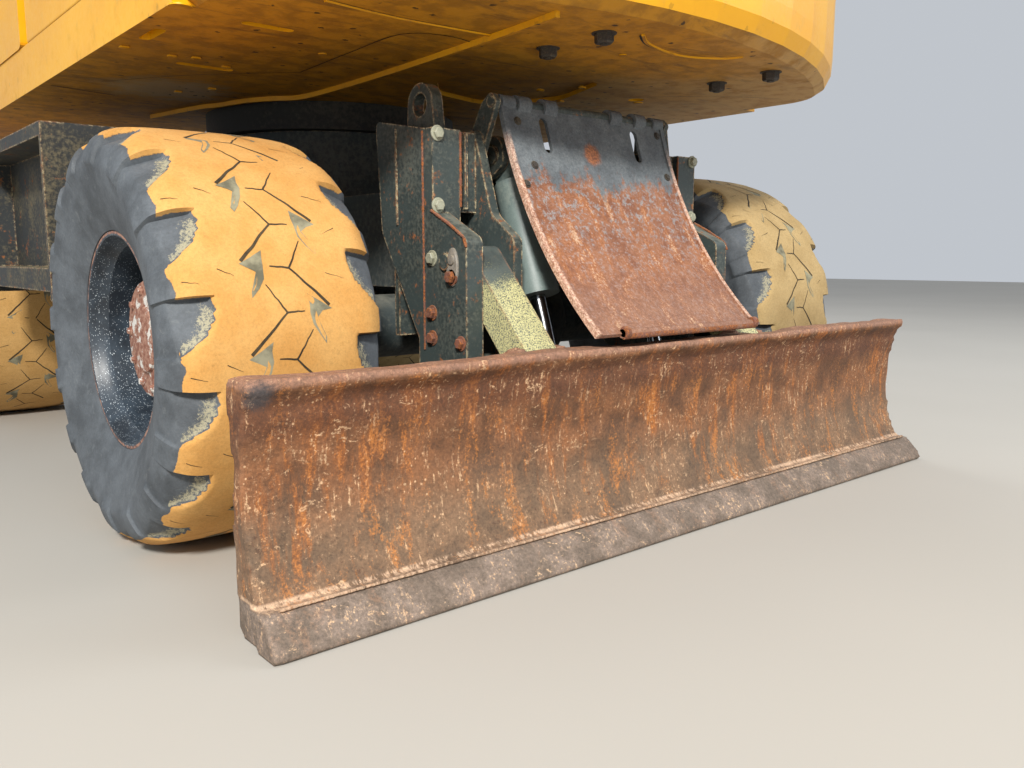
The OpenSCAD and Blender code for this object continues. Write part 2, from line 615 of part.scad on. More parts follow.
module hood() color("#efb010") {
    difference() {
        slab_y([[-upper_half + 100, hood_z - 40, 6], [upper_half - 100, hood_z - 40, 6],
            [upper_half - 130, hood_z, 30], [-upper_half + 130, hood_z, 30]],
            tail_front + gap, hood_hinge[0] - 22);
        block([-upper_half + 160, tail_front + 40, hood_z - 41],
            [upper_half - 160, hood_hinge[0] - 60, hood_z - 20]);
    }
    for (x = [-800, 700]) difference() {
        union() {
            pin_x(hood_hinge, x + 20, x + 70, 18);
            block([x + 20, hood_hinge[0] - 62, hood_z - 40], [x + 70, hood_hinge[0], hood_z - 22]);
        }
        pin_x(hood_hinge, x + 19, x + 71, 9 + run);
    }
}
module tank() color("#efb010") {
    slab_x([[420, deck_top, 0], [1480, deck_top, 30], [1480, 1900, 60], [1180, 2020, 60],
        [1100, 2320, 80], [420, 2320, 40]], 330, upper_half);
}
cab_x0 = -upper_half - 5;
cab_x1 = cab_x0 + cab_w;
cab_floor = deck_top + run + cab_wall;
cab_rows = [[150, deck_top + run, 30], [150, cab_z - 60, 120], [1500, cab_z, 160], [1700, 1950, 100],
    [1700, deck_top + run, 60]];

door_y = [640, 1450];
door_hinge = [cab_x0 - 14, door_y[0] - 12];
door_z = [deck_top + 60, cab_z - 130];
door_rows = [[door_y[0], door_z[0], 60], [door_y[1] + 40, door_z[0], 60], [door_y[1] + 40, 1950, 60],
    [door_y[1] - 90, door_z[1], 80], [door_y[0], door_z[1], 60]];
hinge_z = [1850, 2780];
module cab() color("#e8b418") {
    for (z = hinge_z) {
        block([door_hinge[0] - 10, door_hinge[1] - 30, z - 50], [cab_x0 + 1, door_hinge[1] + 10, z - run]);
        post(door_hinge[0], door_hinge[1], z - 1, z + 50, 7);
    }
    cab_shell();
}
module cab_shell() difference() {
    slab_x(cab_rows, cab_x0, cab_x1);
    translate([cab_x0 + cab_wall, 0, 0]) rotate([90, 0, 90]) linear_extrude(cab_w - 2 * cab_wall)
        offset(delta = -cab_wall) polygon(rounded(cab_rows));
    window_cuts();
    slab_x(door_rows, cab_x0 - 1, cab_x0 + cab_wall + 1);
}
side_window = [[260, 2120, 50], [1500, 2120, 60], [1410, cab_z - 180, 90], [260, cab_z - 200, 60]];
front_low = [[cab_x0 + 110, 1700, 50], [cab_x1 - 110, 1700, 50], [cab_x1 - 110, 1930, 30],
    [cab_x0 + 110, 1930, 30]];
front_high = [[cab_x0 + 90, 2010, 40], [cab_x1 - 90, 2010, 40], [cab_x1 - 90, cab_z - 150, 60],
    [cab_x0 + 90, cab_z - 150, 60]];
rear_window = [[cab_x0 + 120, 2250, 50], [cab_x1 - 120, 2250, 50], [cab_x1 - 120, cab_z - 220, 60],
    [cab_x0 + 120, cab_z - 220, 60]];
module window_cuts() {
    slab_x(side_window, cab_x1 - cab_wall - 1, cab_x1 + 1);
    slab_x([[230, 2120, 40], [560, 2120, 40], [560, cab_z - 200, 60], [230, cab_z - 220, 60]],
        cab_x0 - 1, cab_x0 + cab_wall + 1);
    slab_y(front_high, 1400, 1800);
    slab_y(front_low, 1600, 1800);
    slab_y(rear_window, 100, 150 + cab_wall + 1);
}
module cab_glass() color("lightblue", 0.4) {
    pane = 6;
    slab_x(side_window, cab_x1 - 20, cab_x1 - 20 + pane);
    slab_x([[230, 2120, 40], [560, 2120, 40], [560, cab_z - 200, 60], [230, cab_z - 220, 60]],
        cab_x0 + 16, cab_x0 + 16 + pane);
    slab_y(rear_window, 170, 170 + pane);
    slab_y(front_low, 1676, 1676 + pane);
    intersection() {
        slab_y(front_high, 1400, 1800);
        slab_x([[1500 - 26, cab_z, 0], [1700 - 26, 1950, 0], [1700 - 20, 1950, 0], [1500 - 20, cab_z, 0]],
            cab_x0, cab_x1);
    }
}
door_gap = 6;
module door_outline() offset(delta = -door_gap) polygon(rounded(door_rows));
module cab_door() color("#e8b418") {
    translate([cab_x0, 0, 0]) rotate([90, 0, 90]) linear_extrude(cab_wall) difference() {
        door_outline();
        offset(delta = -75) door_outline();
    }
    for (z = hinge_z) difference() {
        union() {
            post(door_hinge[0], door_hinge[1], z, z + 50, 13);
            block([door_hinge[0] - 4, door_hinge[1], z], [cab_x0 - 2, door_y[0] + door_gap + 20, z + 50]);
            block([cab_x0 - 3, door_y[0] + door_gap, z], [cab_x0 + 4, door_y[0] + door_gap + 20, z + 50]);
        }
        post(door_hinge[0], door_hinge[1], z - 1, z + 51, 7 + run);
    }
}
module door_glass() color("lightblue", 0.4)
    translate([cab_x0 + 18, 0, 0]) rotate([90, 0, 90]) linear_extrude(6) offset(delta = -75) door_outline();
module seat() color("#2b2b2e") {
    block([-1020, 420, cab_floor + run], [-560, 900, deck_top + 250]);
    slab_x([[420, 1840, 30], [920, 1840, 60], [920, 1960, 60], [420, 1960, 30]], -1050, -530);
    slab_x([[330, 1950, 40], [480, 1930, 40], [420, 2700, 60], [290, 2700, 60]], -1030, -550);
}
module console() color("#303438") {
    for (x = [-1170, -500]) block([x, 560, cab_floor + run], [x + 90, 1000, 2080]);
    block([-840, 1430, cab_floor + run], [-740, 1530, cab_floor + 60]);
    bar([-790, 1480, cab_floor + 20], [-790, 1330, 2150], 45);
    translate([-790, 1325, 2145]) rotate([6, 0, 0]) cylinder(h = 30, r = 180);
}
module handrails() color("#22262a") {
    for (p = [[520, 2320], [1380, 1948]]) post(1150, p[0], p[1], 2560, 17);
    bar([1150, 520, 2560], [1150, 1380, 2560], 15);
}
module exhaust() color("#2b2b2b") {
    translate([620, tail_front - 130, hood_z + run]) difference() {
        rotate_extrude() polygon([[0, 0], [75, 0], [75, 14], [58, 14], [58, 180], [46, 200], [46, 360],
            [41, 360], [41, 220], [0, 220]]);
        translate([0, 0, 300]) rotate([35, 0, 0]) translate([-80, -80, 0]) cube(200);
    }
}
module mirrors() color("#22262a") {
    block([cab_x0 - 20, 1530, 2150], [cab_x0 - run, 1580, 2210]);
    bar([cab_x0 - 14, 1555, 2180], [cab_x0 - 70, 1745, 2380], 13);
    slab_y([[cab_x0 - 135, 2330, 30], [cab_x0 + 30, 2330, 30], [cab_x0 + 30, 2640, 30],
        [cab_x0 - 135, 2640, 30]], 1735, 1765);
    post(1150, 1365, 2575 + run, 2700, 12);
    slab_y([[1060, 2620, 30], [1230, 2620, 30], [1230, 2910, 30], [1060, 2910, 30]], 1350, 1380);
}
module lamps() color("#d8d8d0") {
    for (x = [cab_x0 + 120, cab_x1 - 120])
        block([x - 60, 1240, cab_z - 60 * (1500 - 1300) / 1350 + 0.5], [x + 60, 1300, cab_z + 60]);
}

// Boom, arm and bucket
module boom() color("#e8a80c") at(boom_foot, boom_turn) {
    difference() {
        union() {
            box_section([[-170, -170, 150], [300, -110, 300], [1850, 430, 900], [boom_len - 250, -60, 300],
                [boom_len + 140, -140, 90], [boom_len + 140, 140, 90], [boom_len - 250, 190, 300],
                [2100, 985, 800], [100, 260, 300], [-170, 170, 150]], boom_half, boom_half + 14, 14);
            pin_x([0, 0], -ear_x + run, ear_x - run, 130);
            both() pin_x(boom_cyl_eye, boom_half - 1, boom_cyl_x - 60, 80);
            both() slab_x([[arm_cyl_base[0] - 260, 720, 0], [arm_cyl_base[0] + 110, 640, 0],
                [arm_cyl_base[0] + 60, arm_cyl_base[1] + 60, 60],
                [arm_cyl_base[0] - 90, arm_cyl_base[1] + 60, 60]], 62, 86);
            pin_x(arm_cyl_base, -96, 96, pin_r);
        }
        pin_x([0, 0], -ear_x, ear_x, foot_r + run);
        block([-fork_x, boom_len - 450, -400], [fork_x, boom_len + 400, 600]);
    }
    pin_x([boom_len, 0], -boom_half - 24, boom_half + 24, nose_r);
}
function boom_point(p) = boom_foot + turned(p, boom_turn);
function arm_point(p) = boom_nose + turned(p, arm_turn);
boom_eye = boom_point(boom_cyl_eye);
arm_base = boom_point(arm_cyl_base);
arm_eye = arm_point(arm_cyl_eye);
bucket_base = arm_point(bucket_cyl_base);
rocker_at = arm_point(rocker_pin);
link_at = bucket_pin + turned([bucket_link_pin, 0], bucket_turn);
knee = meet(link_at, rocker_at, bucket_link_len, rocker_len);
module boom_barrels() color("#e8a80c") both() cylinder_barrel(boom_cyl_base, boom_eye, boom_cyl_x,
    pin_r, 32, 60, 36, boom_cyl_shut);
module boom_rods() color("silver") both() cylinder_rod(boom_cyl_base, boom_eye, boom_cyl_x,
    pin_r, 32, 60, 36, boom_cyl_shut);
module arm_barrel() color("#e8a80c") cylinder_barrel(arm_base, arm_eye, 0, pin_r, 56, 68, 40, arm_cyl_shut);
module arm_rod() color("silver") cylinder_rod(arm_base, arm_eye, 0, pin_r, 50, 68, 40, arm_cyl_shut);
module arm() color("#e8a80c") at(boom_nose, arm_turn) {
    difference() {
        union() {
            box_section([[-600, 140, 60], [-300, -60, 200], [-60, -130, 120], [400, -130, 200],
                [arm_len - 40, -100, 90], [arm_len + 70, 0, 60], [arm_len - 40, 100, 90],
                [500, 310, 300], [-150, 400, 200], [-600, 290, 80]], arm_half, arm_half + 12, 12);
            pin_x([0, 0], -fork_x + run, fork_x - run, 125);
            for (x = [60, -84]) slab_x([[-200, 300, 0], [320, 300, 0],
                [bucket_cyl_base[0] + 80, bucket_cyl_base[1] + 60, 60],
                [bucket_cyl_base[0] - 80, bucket_cyl_base[1] + 60, 60]], x, x + 24);
            pin_x(rocker_pin, -rocker_in, rocker_in, 80);
            pin_x([arm_len, 0], -bucket_ear, bucket_ear, 88);
        }
        pin_x([0, 0], -fork_x, fork_x, nose_r + run);
        slab_x([[-760, 500, 0], [-240, 500, 0], [-240, 120, 0], [-150, -60, 0], [-150, -220, 0],
            [-760, -220, 0]], -56 - gap, 56 + gap);
    }
    pin_x(bucket_cyl_base, -92, 92, pin_r);
    pin_x([arm_len, 0], -bucket_ear - 50, bucket_ear + 50, pin_r);
    pin_x(rocker_pin, -rocker_in - 36, rocker_in + 36, pin_r);
}
bucket_ear = 130;
rocker_in = arm_half + 20;
link_side = [60, 98];    // the bucket link's sides
module bucket_barrel() color("#e8a80c")
    cylinder_barrel(bucket_base, knee, 0, pin_r, 54, 60, 36, bucket_cyl_shut);
module bucket_rod() color("silver") cylinder_rod(bucket_base, knee, 0, pin_r, 54, 60, 36, bucket_cyl_shut);
module bucket_rocker() color("#4a4d4c") both() {
    pin_x(knee, link_side[0], rocker_in + 34, pin_r);
    at(rocker_at, heading(knee - rocker_at))
        link_plate(rocker_len, 75, 56, rocker_in + run, rocker_in + 28, pin_r + run);
}
module bucket_link() color("#4a4d4c") {
    both() {
        at(knee, heading(link_at - knee))
            link_plate(bucket_link_len, 66, 66, link_side[0], link_side[1], pin_r + run);
        pin_x(link_at, link_side[0], bucket_ear, pin_r + 1);
    }
}
tooth_w = 90;
tooth_len = 120;
function tooth_x(i) = (bucket_w - tooth_w) * (i / (teeth - 1) - 0.5);
module bucket() color("#8a8073") at(bucket_pin, bucket_turn) {
    half = bucket_w / 2;
    tip = tip_r * [cos(-tip_angle), sin(-tip_angle)];
    toe = tip + 170 * [cos(-bucket_turn), sin(-bucket_turn)];
    heel = [380, -760];
    rows = [[-130, -215, 0], [tip[0] + 60, tip[1] + 150, 0], [toe[0], toe[1], 0], [heel[0], heel[1], 200],
        [520, -480, 200], [470, -215, 100]];
    floor_a = heading(heel - toe);
    difference() {
        slab_x(rows, -half, half);
        translate([-half + bucket_t, 0, 0]) rotate([90, 0, 90]) linear_extrude(bucket_w - 2 * bucket_t) {
            offset(delta = -bucket_t) polygon(rounded(rows));
            translate(-2 * bucket_t * [cos(floor_a), sin(floor_a)]) offset(delta = -bucket_t)
                polygon(rounded(rows));
            polygon([[-300, rows[0][1] - bucket_t], [0, rows[0][1] - bucket_t], [0, -700], [-300, -700]]);
        }
        for (i = [0 : teeth - 2]) at(toe, floor_a)
            block([tooth_x(i) + tooth_w / 2, -50, -50], [tooth_x(i + 1) - tooth_w / 2, tooth_len, 100]);
    }
    for (i = [0 : teeth - 1]) at(toe, floor_a)
        slab_x([[0, 0, 0], [tooth_len + 60, bucket_t - 1, 0], [tooth_len + 60, bucket_t + 24, 10],
            [tooth_len, bucket_t + 30, 10]], tooth_x(i) - tooth_w / 2, tooth_x(i) + tooth_w / 2);
    both() difference() {
        slab_x([[-80, -236, 0], [440, -236, 0], [470, 0, 60], [400, 75, 60], [0, 95, 80], [-95, 0, 60]],
            bucket_ear + run, bucket_ear + 40);
        pin_x([0, 0], 0, 300, pin_r + run);
    }
    both() pin_x([bucket_link_pin, 0], bucket_ear + run, bucket_ear + 46, pin_r);
}

module place() translate([0, -mid_y, 0]) children();
place() chassis_frame();
place() rear_axle();
place() front_axle();
place() drive_line();
place() slew_ring();
place() step_box(-1);  // step_box_left
place() step_box(1);  // step_box_right
place() blade_bracket();
place() cylinder_guard();
place() knuckle(-1);  // knuckle_left
place() knuckle(1);  // knuckle_right
place() steering_rod();
place() wheel_at(-1, rear_y) rim();  // rim_rear_left
place() wheel_at(1, rear_y) rim();  // rim_rear_right
place() wheel_at(-1, front_y) rim();  // rim_front_left
place() wheel_at(1, front_y) rim();  // rim_front_right
place() wheel_at(-1, rear_y) tyre();  // tyre_rear_left
place() wheel_at(1, rear_y) tyre();  // tyre_rear_right
place() wheel_at(-1, front_y) tyre();  // tyre_front_left
place() wheel_at(1, front_y) tyre();  // tyre_front_right
place() blade_arms();
place() blade();
place() blade_links();
place() blade_barrels();
place() blade_rods();
place() upper_frame();
place() counterweight();
place() engine();
place() side_panel(-1);  // side_panel_left
place() side_panel(1);  // side_panel_right
place() hood();
place() tank();
place() cab();
place() cab_glass();
place() cab_door();
place() door_glass();
place() seat();
place() console();
place() handrails();
place() mirrors();
place() exhaust();
place() lamps();
place() boom();
place() boom_barrels();
place() boom_rods();
place() arm_barrel();
place() arm_rod();
place() arm();
place() bucket_barrel();
place() bucket_rod();
place() bucket_rocker();
place() bucket_link();
place() bucket();
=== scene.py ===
"""Looks of the wheeled excavator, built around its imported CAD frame."""
import bpy, bmesh, math
from math import sin, cos, pi, radians
from mathutils import Vector, Matrix, noise
from mathutils.bvhtree import BVHTree


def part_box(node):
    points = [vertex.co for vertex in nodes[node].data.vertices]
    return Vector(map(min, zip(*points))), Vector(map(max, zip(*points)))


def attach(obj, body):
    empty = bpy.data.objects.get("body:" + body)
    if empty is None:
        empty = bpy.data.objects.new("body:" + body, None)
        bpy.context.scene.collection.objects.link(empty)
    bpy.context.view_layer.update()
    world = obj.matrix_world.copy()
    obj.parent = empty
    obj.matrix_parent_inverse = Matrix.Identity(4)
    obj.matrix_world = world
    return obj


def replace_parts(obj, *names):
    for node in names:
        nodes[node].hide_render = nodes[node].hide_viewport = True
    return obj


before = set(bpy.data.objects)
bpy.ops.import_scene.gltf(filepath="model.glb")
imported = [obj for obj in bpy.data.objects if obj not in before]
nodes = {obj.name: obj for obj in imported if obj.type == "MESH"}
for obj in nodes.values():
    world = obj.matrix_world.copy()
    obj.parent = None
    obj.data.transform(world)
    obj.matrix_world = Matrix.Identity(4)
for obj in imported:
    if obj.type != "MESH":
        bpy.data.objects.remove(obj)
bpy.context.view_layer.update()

# Places are written in metres in the machine's own frame, slew axis at y = 0, z up from the ground
REAR_Y, FRONT_Y = -1.22, 1.48       # the axles; the blade end is the rear one
AXLE_Z = 0.575
SIDE = 1.25                         # half the width of the upper structure
DECK = 1.430                        # the underside of the upper structure
RIM_LO, RIM_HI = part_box("rim_rear_left")
TYRE_LO, TYRE_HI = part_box("tyre_rear_left")
WHEEL_X = -(TYRE_LO.x + TYRE_HI.x) / 2
FLANGE = -RIM_LO.x - WHEEL_X        # a rim's outer face from its tyre's middle
SHIFT = (RIM_LO.y + RIM_HI.y) / 2 - REAR_Y


def P(x, y, z):
    """A place of the machine's own frame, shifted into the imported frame."""
    return Vector((x, y + SHIFT, z))


def srgb(h):
    """A hex colour as linear RGBA."""
    v = [int(h[i:i + 2], 16) / 255 for i in (0, 2, 4)]
    return tuple(x / 12.92 if x <= 0.04045 else ((x + 0.055) / 1.055) ** 2.4 for x in v) + (1.0,)


# Materials
class Mat:
    """A small writer for node materials."""

    def __init__(self, name):
        self.m = bpy.data.materials.new(name)
        self.m.use_nodes = True
        self.t = self.m.node_tree
        self.b = self.t.nodes["Principled BSDF"]
        self.tc = self.t.nodes.new("ShaderNodeTexCoord")
        self.xyz = self.tc.outputs["Object"]

    def put(self, sock, v):
        """Links a socket to an output, or sets it to a value."""
        if isinstance(v, bpy.types.NodeSocket):
            self.t.links.new(v, sock)
        elif v is not None:
            sock.default_value = v

    def spread(self, n, stretch):
        """Feeds a texture with object coordinates, stretched if asked."""
        v = self.xyz
        if stretch:
            mp = self.t.nodes.new("ShaderNodeMapping")
            mp.inputs["Scale"].default_value = stretch
            self.t.links.new(v, mp.inputs["Vector"])
            v = mp.outputs["Vector"]
        self.t.links.new(v, n.inputs["Vector"])

    def noise(self, scale, detail=4, rough=0.55, stretch=None, dist=0.0):
        n = self.t.nodes.new("ShaderNodeTexNoise")
        for k, v in (("Scale", scale), ("Detail", detail), ("Roughness", rough), ("Distortion", dist)):
            n.inputs[k].default_value = v
        self.spread(n, stretch)
        return n.outputs["Fac"]

    def cells(self, scale, stretch=None):
        n = self.t.nodes.new("ShaderNodeTexVoronoi")
        n.inputs["Scale"].default_value = scale
        self.spread(n, stretch)
        return n.outputs["Distance"]

    def math(self, op, a, b=None, clamp=False):
        n = self.t.nodes.new("ShaderNodeMath")
        n.operation = op
        n.use_clamp = clamp
        self.put(n.inputs[0], a)
        if b is not None:
            self.put(n.inputs[1], b)
        return n.outputs[0]

    def times(self, *v):
        out = v[0]
        for x in v[1:]:
            out = self.math("MULTIPLY", out, x)
        return out

    def most(self, a, b):
        """The larger of two masks."""
        return self.math("MAXIMUM", a, b)

    def sway(self, v, n, amount):
        """v shifted by a noise n, up to half of amount to each side."""
        return self.math("ADD", v, self.times(self.math("SUBTRACT", n, 0.5), amount))

    def step(self, v, lo, hi, a=0.0, b=1.0):
        """A smooth step from a, where v is lo, to b, where v is hi."""
        n = self.t.nodes.new("ShaderNodeMapRange")
        n.interpolation_type = "SMOOTHSTEP"
        self.put(n.inputs["Value"], v)
        for k, x in (("From Min", lo), ("From Max", hi), ("To Min", a), ("To Max", b)):
            n.inputs[k].default_value = x
        return n.outputs["Result"]

    def mix(self, f, a, b, kind="MIX"):
        n = self.t.nodes.new("ShaderNodeMix")
        n.data_type = "RGBA"
        n.blend_type = kind
        self.put(n.inputs[0], f)
        for i, c in ((6, a), (7, b)):
            self.put(n.inputs[i], srgb(c) if isinstance(c, str) else c)
        return n.outputs[2]

    def grain(self, col, n, amount):
        """col made lighter and darker by a fine noise n."""
        v = self.step(n, 0.25, 0.75, 1 - amount, 1 + amount)
        c = self.t.nodes.new("ShaderNodeCombineXYZ")
        for i in range(3):
            self.t.links.new(v, c.inputs[i])
        return self.mix(1.0, col, c.outputs[0], "MULTIPLY")

    def axis(self, i, normal=False):
        """One axis of the place, or of the way a face looks."""
        n = self.t.nodes.new("ShaderNodeSeparateXYZ")
        self.t.links.new(self.tc.outputs["Normal"] if normal else self.xyz, n.inputs[0])
        return n.outputs[i]

    def near(self, at, r, n, soft=0.3, amount=0.5):
        """1 within r of a point, its border broken by the noise n."""
        d = self.t.nodes.new("ShaderNodeVectorMath")
        d.operation = "DISTANCE"
        self.t.links.new(self.xyz, d.inputs[0])
        d.inputs[1].default_value = at
        far = self.sway(d.outputs["Value"], n, r * amount * 2)
        return self.step(far, r * (1 + soft), r * (1 - soft))

    def edge(self, radius, lo=0.985, hi=0.86):
        """1 on corners and 0 on flat faces, from a small bevel of the normal."""
        b = self.t.nodes.new("ShaderNodeBevel")
        b.samples = 4
        b.inputs["Radius"].default_value = radius
        g = self.t.nodes.new("ShaderNodeNewGeometry")
        d = self.t.nodes.new("ShaderNodeVectorMath")
        d.operation = "DOT_PRODUCT"
        self.t.links.new(b.outputs[0], d.inputs[0])
        self.t.links.new(g.outputs["Normal"], d.inputs[1])
        return self.step(d.outputs["Value"], lo, hi)

    def attr(self, name):
        n = self.t.nodes.new("ShaderNodeAttribute")
        n.attribute_name = name
        return n.outputs["Fac"]

    def bump(self, h, strength, dist, under=None):
        n = self.t.nodes.new("ShaderNodeBump")
        n.inputs["Strength"].default_value = strength
        n.inputs["Distance"].default_value = dist
        self.t.links.new(h, n.inputs["Height"])
        if under:
            self.t.links.new(under, n.inputs["Normal"])
        return n.outputs["Normal"]

    def out(self, color, rough, normal=None, metal=0.0):
        self.put(self.b.inputs["Base Color"], srgb(color) if isinstance(color, str) else color)
        self.put(self.b.inputs["Roughness"], rough)
        self.put(self.b.inputs["Metallic"], metal)
        if normal:
            self.t.links.new(normal, self.b.inputs["Normal"])
        return self.m


def worn(name, base, shade, dust, dust_amount=0.35, rust_amount=0.15, rough=0.5, fine=1.0, edges=0.0,
         edge_tone="9a6a42"):
    """Painted steel: mottled coat, dust in patches and on ledges, rust spots, worn corners."""
    m = Mat(name)
    n1, n2 = m.noise(3 * fine, 6, 0.6), m.noise(14 * fine, 8, 0.65)
    n3, n4 = m.noise(55 * fine, 6, 0.7), m.noise(330, 4, 0.7)
    col = m.mix(m.step(n1, 0.35, 0.65), base, shade)
    d = m.times(m.step(m.sway(n1, n3, 1.0), 0.42, 0.72), dust_amount)
    up = m.step(m.axis(2, normal=True), 0.4, 0.9)
    up = m.times(up, m.step(n2, 0.3, 0.6), min(1.0, dust_amount * 2))
    col = m.mix(m.most(d, up), col, dust)
    r = m.math("ADD", m.times(n2, 0.7), m.times(n3, 0.3))
    r = m.step(r, 0.74 - 0.25 * rust_amount, 0.8 - 0.2 * rust_amount)
    col = m.mix(m.times(r, 0.9), col, m.mix(m.step(n3, 0.35, 0.65), "5a3422", "a0602f"))
    if edges:
        e = m.times(m.edge(0.010), m.step(m.sway(n2, n3, 0.8), 0.36, 0.56), edges)
        col = m.mix(e, col, m.mix(m.step(n3, 0.45, 0.6), edge_tone, "cbbd97"))
    col = m.grain(col, n4, 0.14)
    ro = m.math("ADD", m.times(n3, 0.18), rough - 0.06)
    ro = m.math("ADD", ro, m.times(r, 0.3), clamp=True)
    return m.out(col, ro, m.bump(n4, 0.2, 0.0008, m.bump(n3, 0.25, 0.0015)))


def rusty(name):
    """The blade's steel: brown and orange rust with streaks, fine scratches and pale scuffs, and a painted
    shadow in a band under the rolled lip.
    """
    m = Mat(name)
    z = m.axis(2)
    big, mid = m.noise(2.4, 5, 0.6, dist=0.3), m.noise(9, 8, 0.68)
    small, grit = m.noise(48, 8, 0.75), m.noise(120, 8, 0.85)
    runs = m.noise(20, 7, 0.72, stretch=(1.0, 0.5, 0.22), dist=0.4)
    thin = m.noise(95, 6, 0.75, stretch=(1.0, 0.5, 0.13), dist=0.3)
    slant = m.noise(46, 6, 0.75, stretch=(0.5, 0.5, 1.0), dist=1.4)
    high = m.step(m.sway(z, mid, 0.2), 0.16, 0.36)
    dark, light = m.mix(high, "67523f", "5f3f28"), m.mix(high, "866950", "875a3a")
    col = m.mix(m.step(mid, 0.36, 0.64), dark, light)
    streak = m.times(m.step(runs, 0.46, 0.62), m.step(big, 0.42, 0.56), m.step(z, 0.08, 0.2))
    col = m.mix(m.times(streak, 0.65), col, "a05c28")
    col = m.mix(m.times(m.step(m.sway(runs, grit, 0.9), 0.55, 0.66), 0.7), col, "b87435")
    # painted shadow: a darker band on the face under the rolled lip, where the lip shades it
    shade = m.times(m.step(m.sway(z, mid, 0.06), 0.40, 0.46), m.step(z, 0.535, 0.505))
    col = m.mix(m.times(shade, 0.6), col, "55301e")
    col = m.mix(m.times(m.step(m.sway(small, grit, 0.5), 0.55, 0.66), 0.7), col, "3a2318")
    col = m.mix(m.times(m.step(m.sway(z, small, 0.02), 0.533, 0.545), 0.6), col, "9c7764")
    strip = m.step(m.sway(z, small, 0.006), 0.087, 0.081)
    col = m.mix(m.times(strip, 0.8), col, m.mix(m.step(mid, 0.4, 0.6), "6c6055", "84776d"))
    weld = m.times(m.step(z, 0.083, 0.087), m.step(z, 0.096, 0.090))
    weld = m.times(weld, m.step(m.sway(thin, big, 0.6), 0.42, 0.56))
    col = m.mix(m.times(weld, 0.9), col, "c9a98c")
    pale = m.times(m.step(m.sway(thin, grit, 0.5), 0.57, 0.66), m.step(mid, 0.44, 0.6))
    pale = m.most(pale, m.times(m.step(m.sway(slant, grit, 0.4), 0.59, 0.67), m.step(big, 0.44, 0.56)))
    flecks = m.step(m.sway(m.cells(60), small, 0.25), 0.2, 0.12)
    pale = m.most(pale, m.times(flecks, m.step(mid, 0.48, 0.62)))
    col = m.mix(m.times(pale, 0.75), col, "d9b48c")
    col = m.mix(m.times(m.near(P(-1.355, -2.10, 0.52), 0.032, grit, 0.5, 1.0), 0.8), col, "474b50")
    col = m.mix(m.times(m.edge(0.012), m.step(mid, 0.3, 0.6), 0.5), col, "b99a80")
    col = m.grain(m.grain(col, grit, 0.5), small, 0.22)
    h = m.math("ADD", m.times(small, 0.5), m.times(mid, 0.8))
    normal = m.bump(grit, 0.55, 0.003, m.bump(h, 0.6, 0.006))
    return m.out(col, m.step(mid, 0.3, 0.7, 0.66, 0.88), normal)


def guard_mat():
    """The guard: steel grey above, orange rust with pale specks below, a bright rim down each side."""
    m = Mat("guard_rust")
    z, x = m.axis(2), m.math("ABSOLUTE", m.axis(0))
    mid, small, grit = m.noise(11, 8, 0.68), m.noise(55, 8, 0.75), m.noise(140, 8, 0.85)
    tongue = m.noise(20, 6, 0.7, stretch=(1.0, 0.4, 0.16), dist=0.3)
    coat = m.mix(m.step(mid, 0.35, 0.65), "565c61", "6b7276")
    rust = m.mix(m.step(mid, 0.38, 0.62), "7d4f38", "966548")
    rust = m.mix(m.times(m.step(tongue, 0.48, 0.62), 0.6), rust, "a3602c")
    rust = m.mix(m.times(m.step(z, 0.80, 0.62), 0.45), rust, "8f6e5c")
    edge = m.sway(m.sway(z, tongue, 0.30), small, 0.16)
    speck = m.times(m.step(m.sway(small, grit, 0.6), 0.50, 0.60), m.step(z, 0.66, 0.98, 0.25, 1.0))
    rust = m.mix(m.times(speck, 0.8), rust, "81878a")
    rust = m.mix(m.times(m.step(m.sway(tongue, grit, 0.8), 0.60, 0.68), 0.6), rust, "c9a98a")
    col = m.mix(m.step(edge, 1.055, 1.005), coat, rust)
    patch = m.mix(m.step(grit, 0.4, 0.6), "77452f", "b56f3d")
    spots = ((P(-0.019, -1.70, 1.125), 0.036), (P(0.0, -1.70, 1.075), 0.014), (P(0.048, -1.72, 0.985), 0.034))
    for at, r in spots:
        col = m.mix(m.times(m.near(at, r, small), 0.85), col, patch)
    rim = m.times(m.step(x, 0.352, 0.362), m.step(m.sway(z, small, 0.1), 1.19, 1.12))
    rim = m.times(rim, m.step(small, 0.34, 0.5))
    col = m.mix(m.times(rim, 0.7), col, m.mix(m.step(grit, 0.4, 0.6), "b9806a", "e2c7ae"))
    col = m.grain(m.grain(col, grit, 0.42), small, 0.18)
    h = m.math("ADD", m.times(small, 0.5), m.times(mid, 0.6))
    return m.out(col, 0.74, m.bump(grit, 0.45, 0.002, m.bump(h, 0.5, 0.004)))


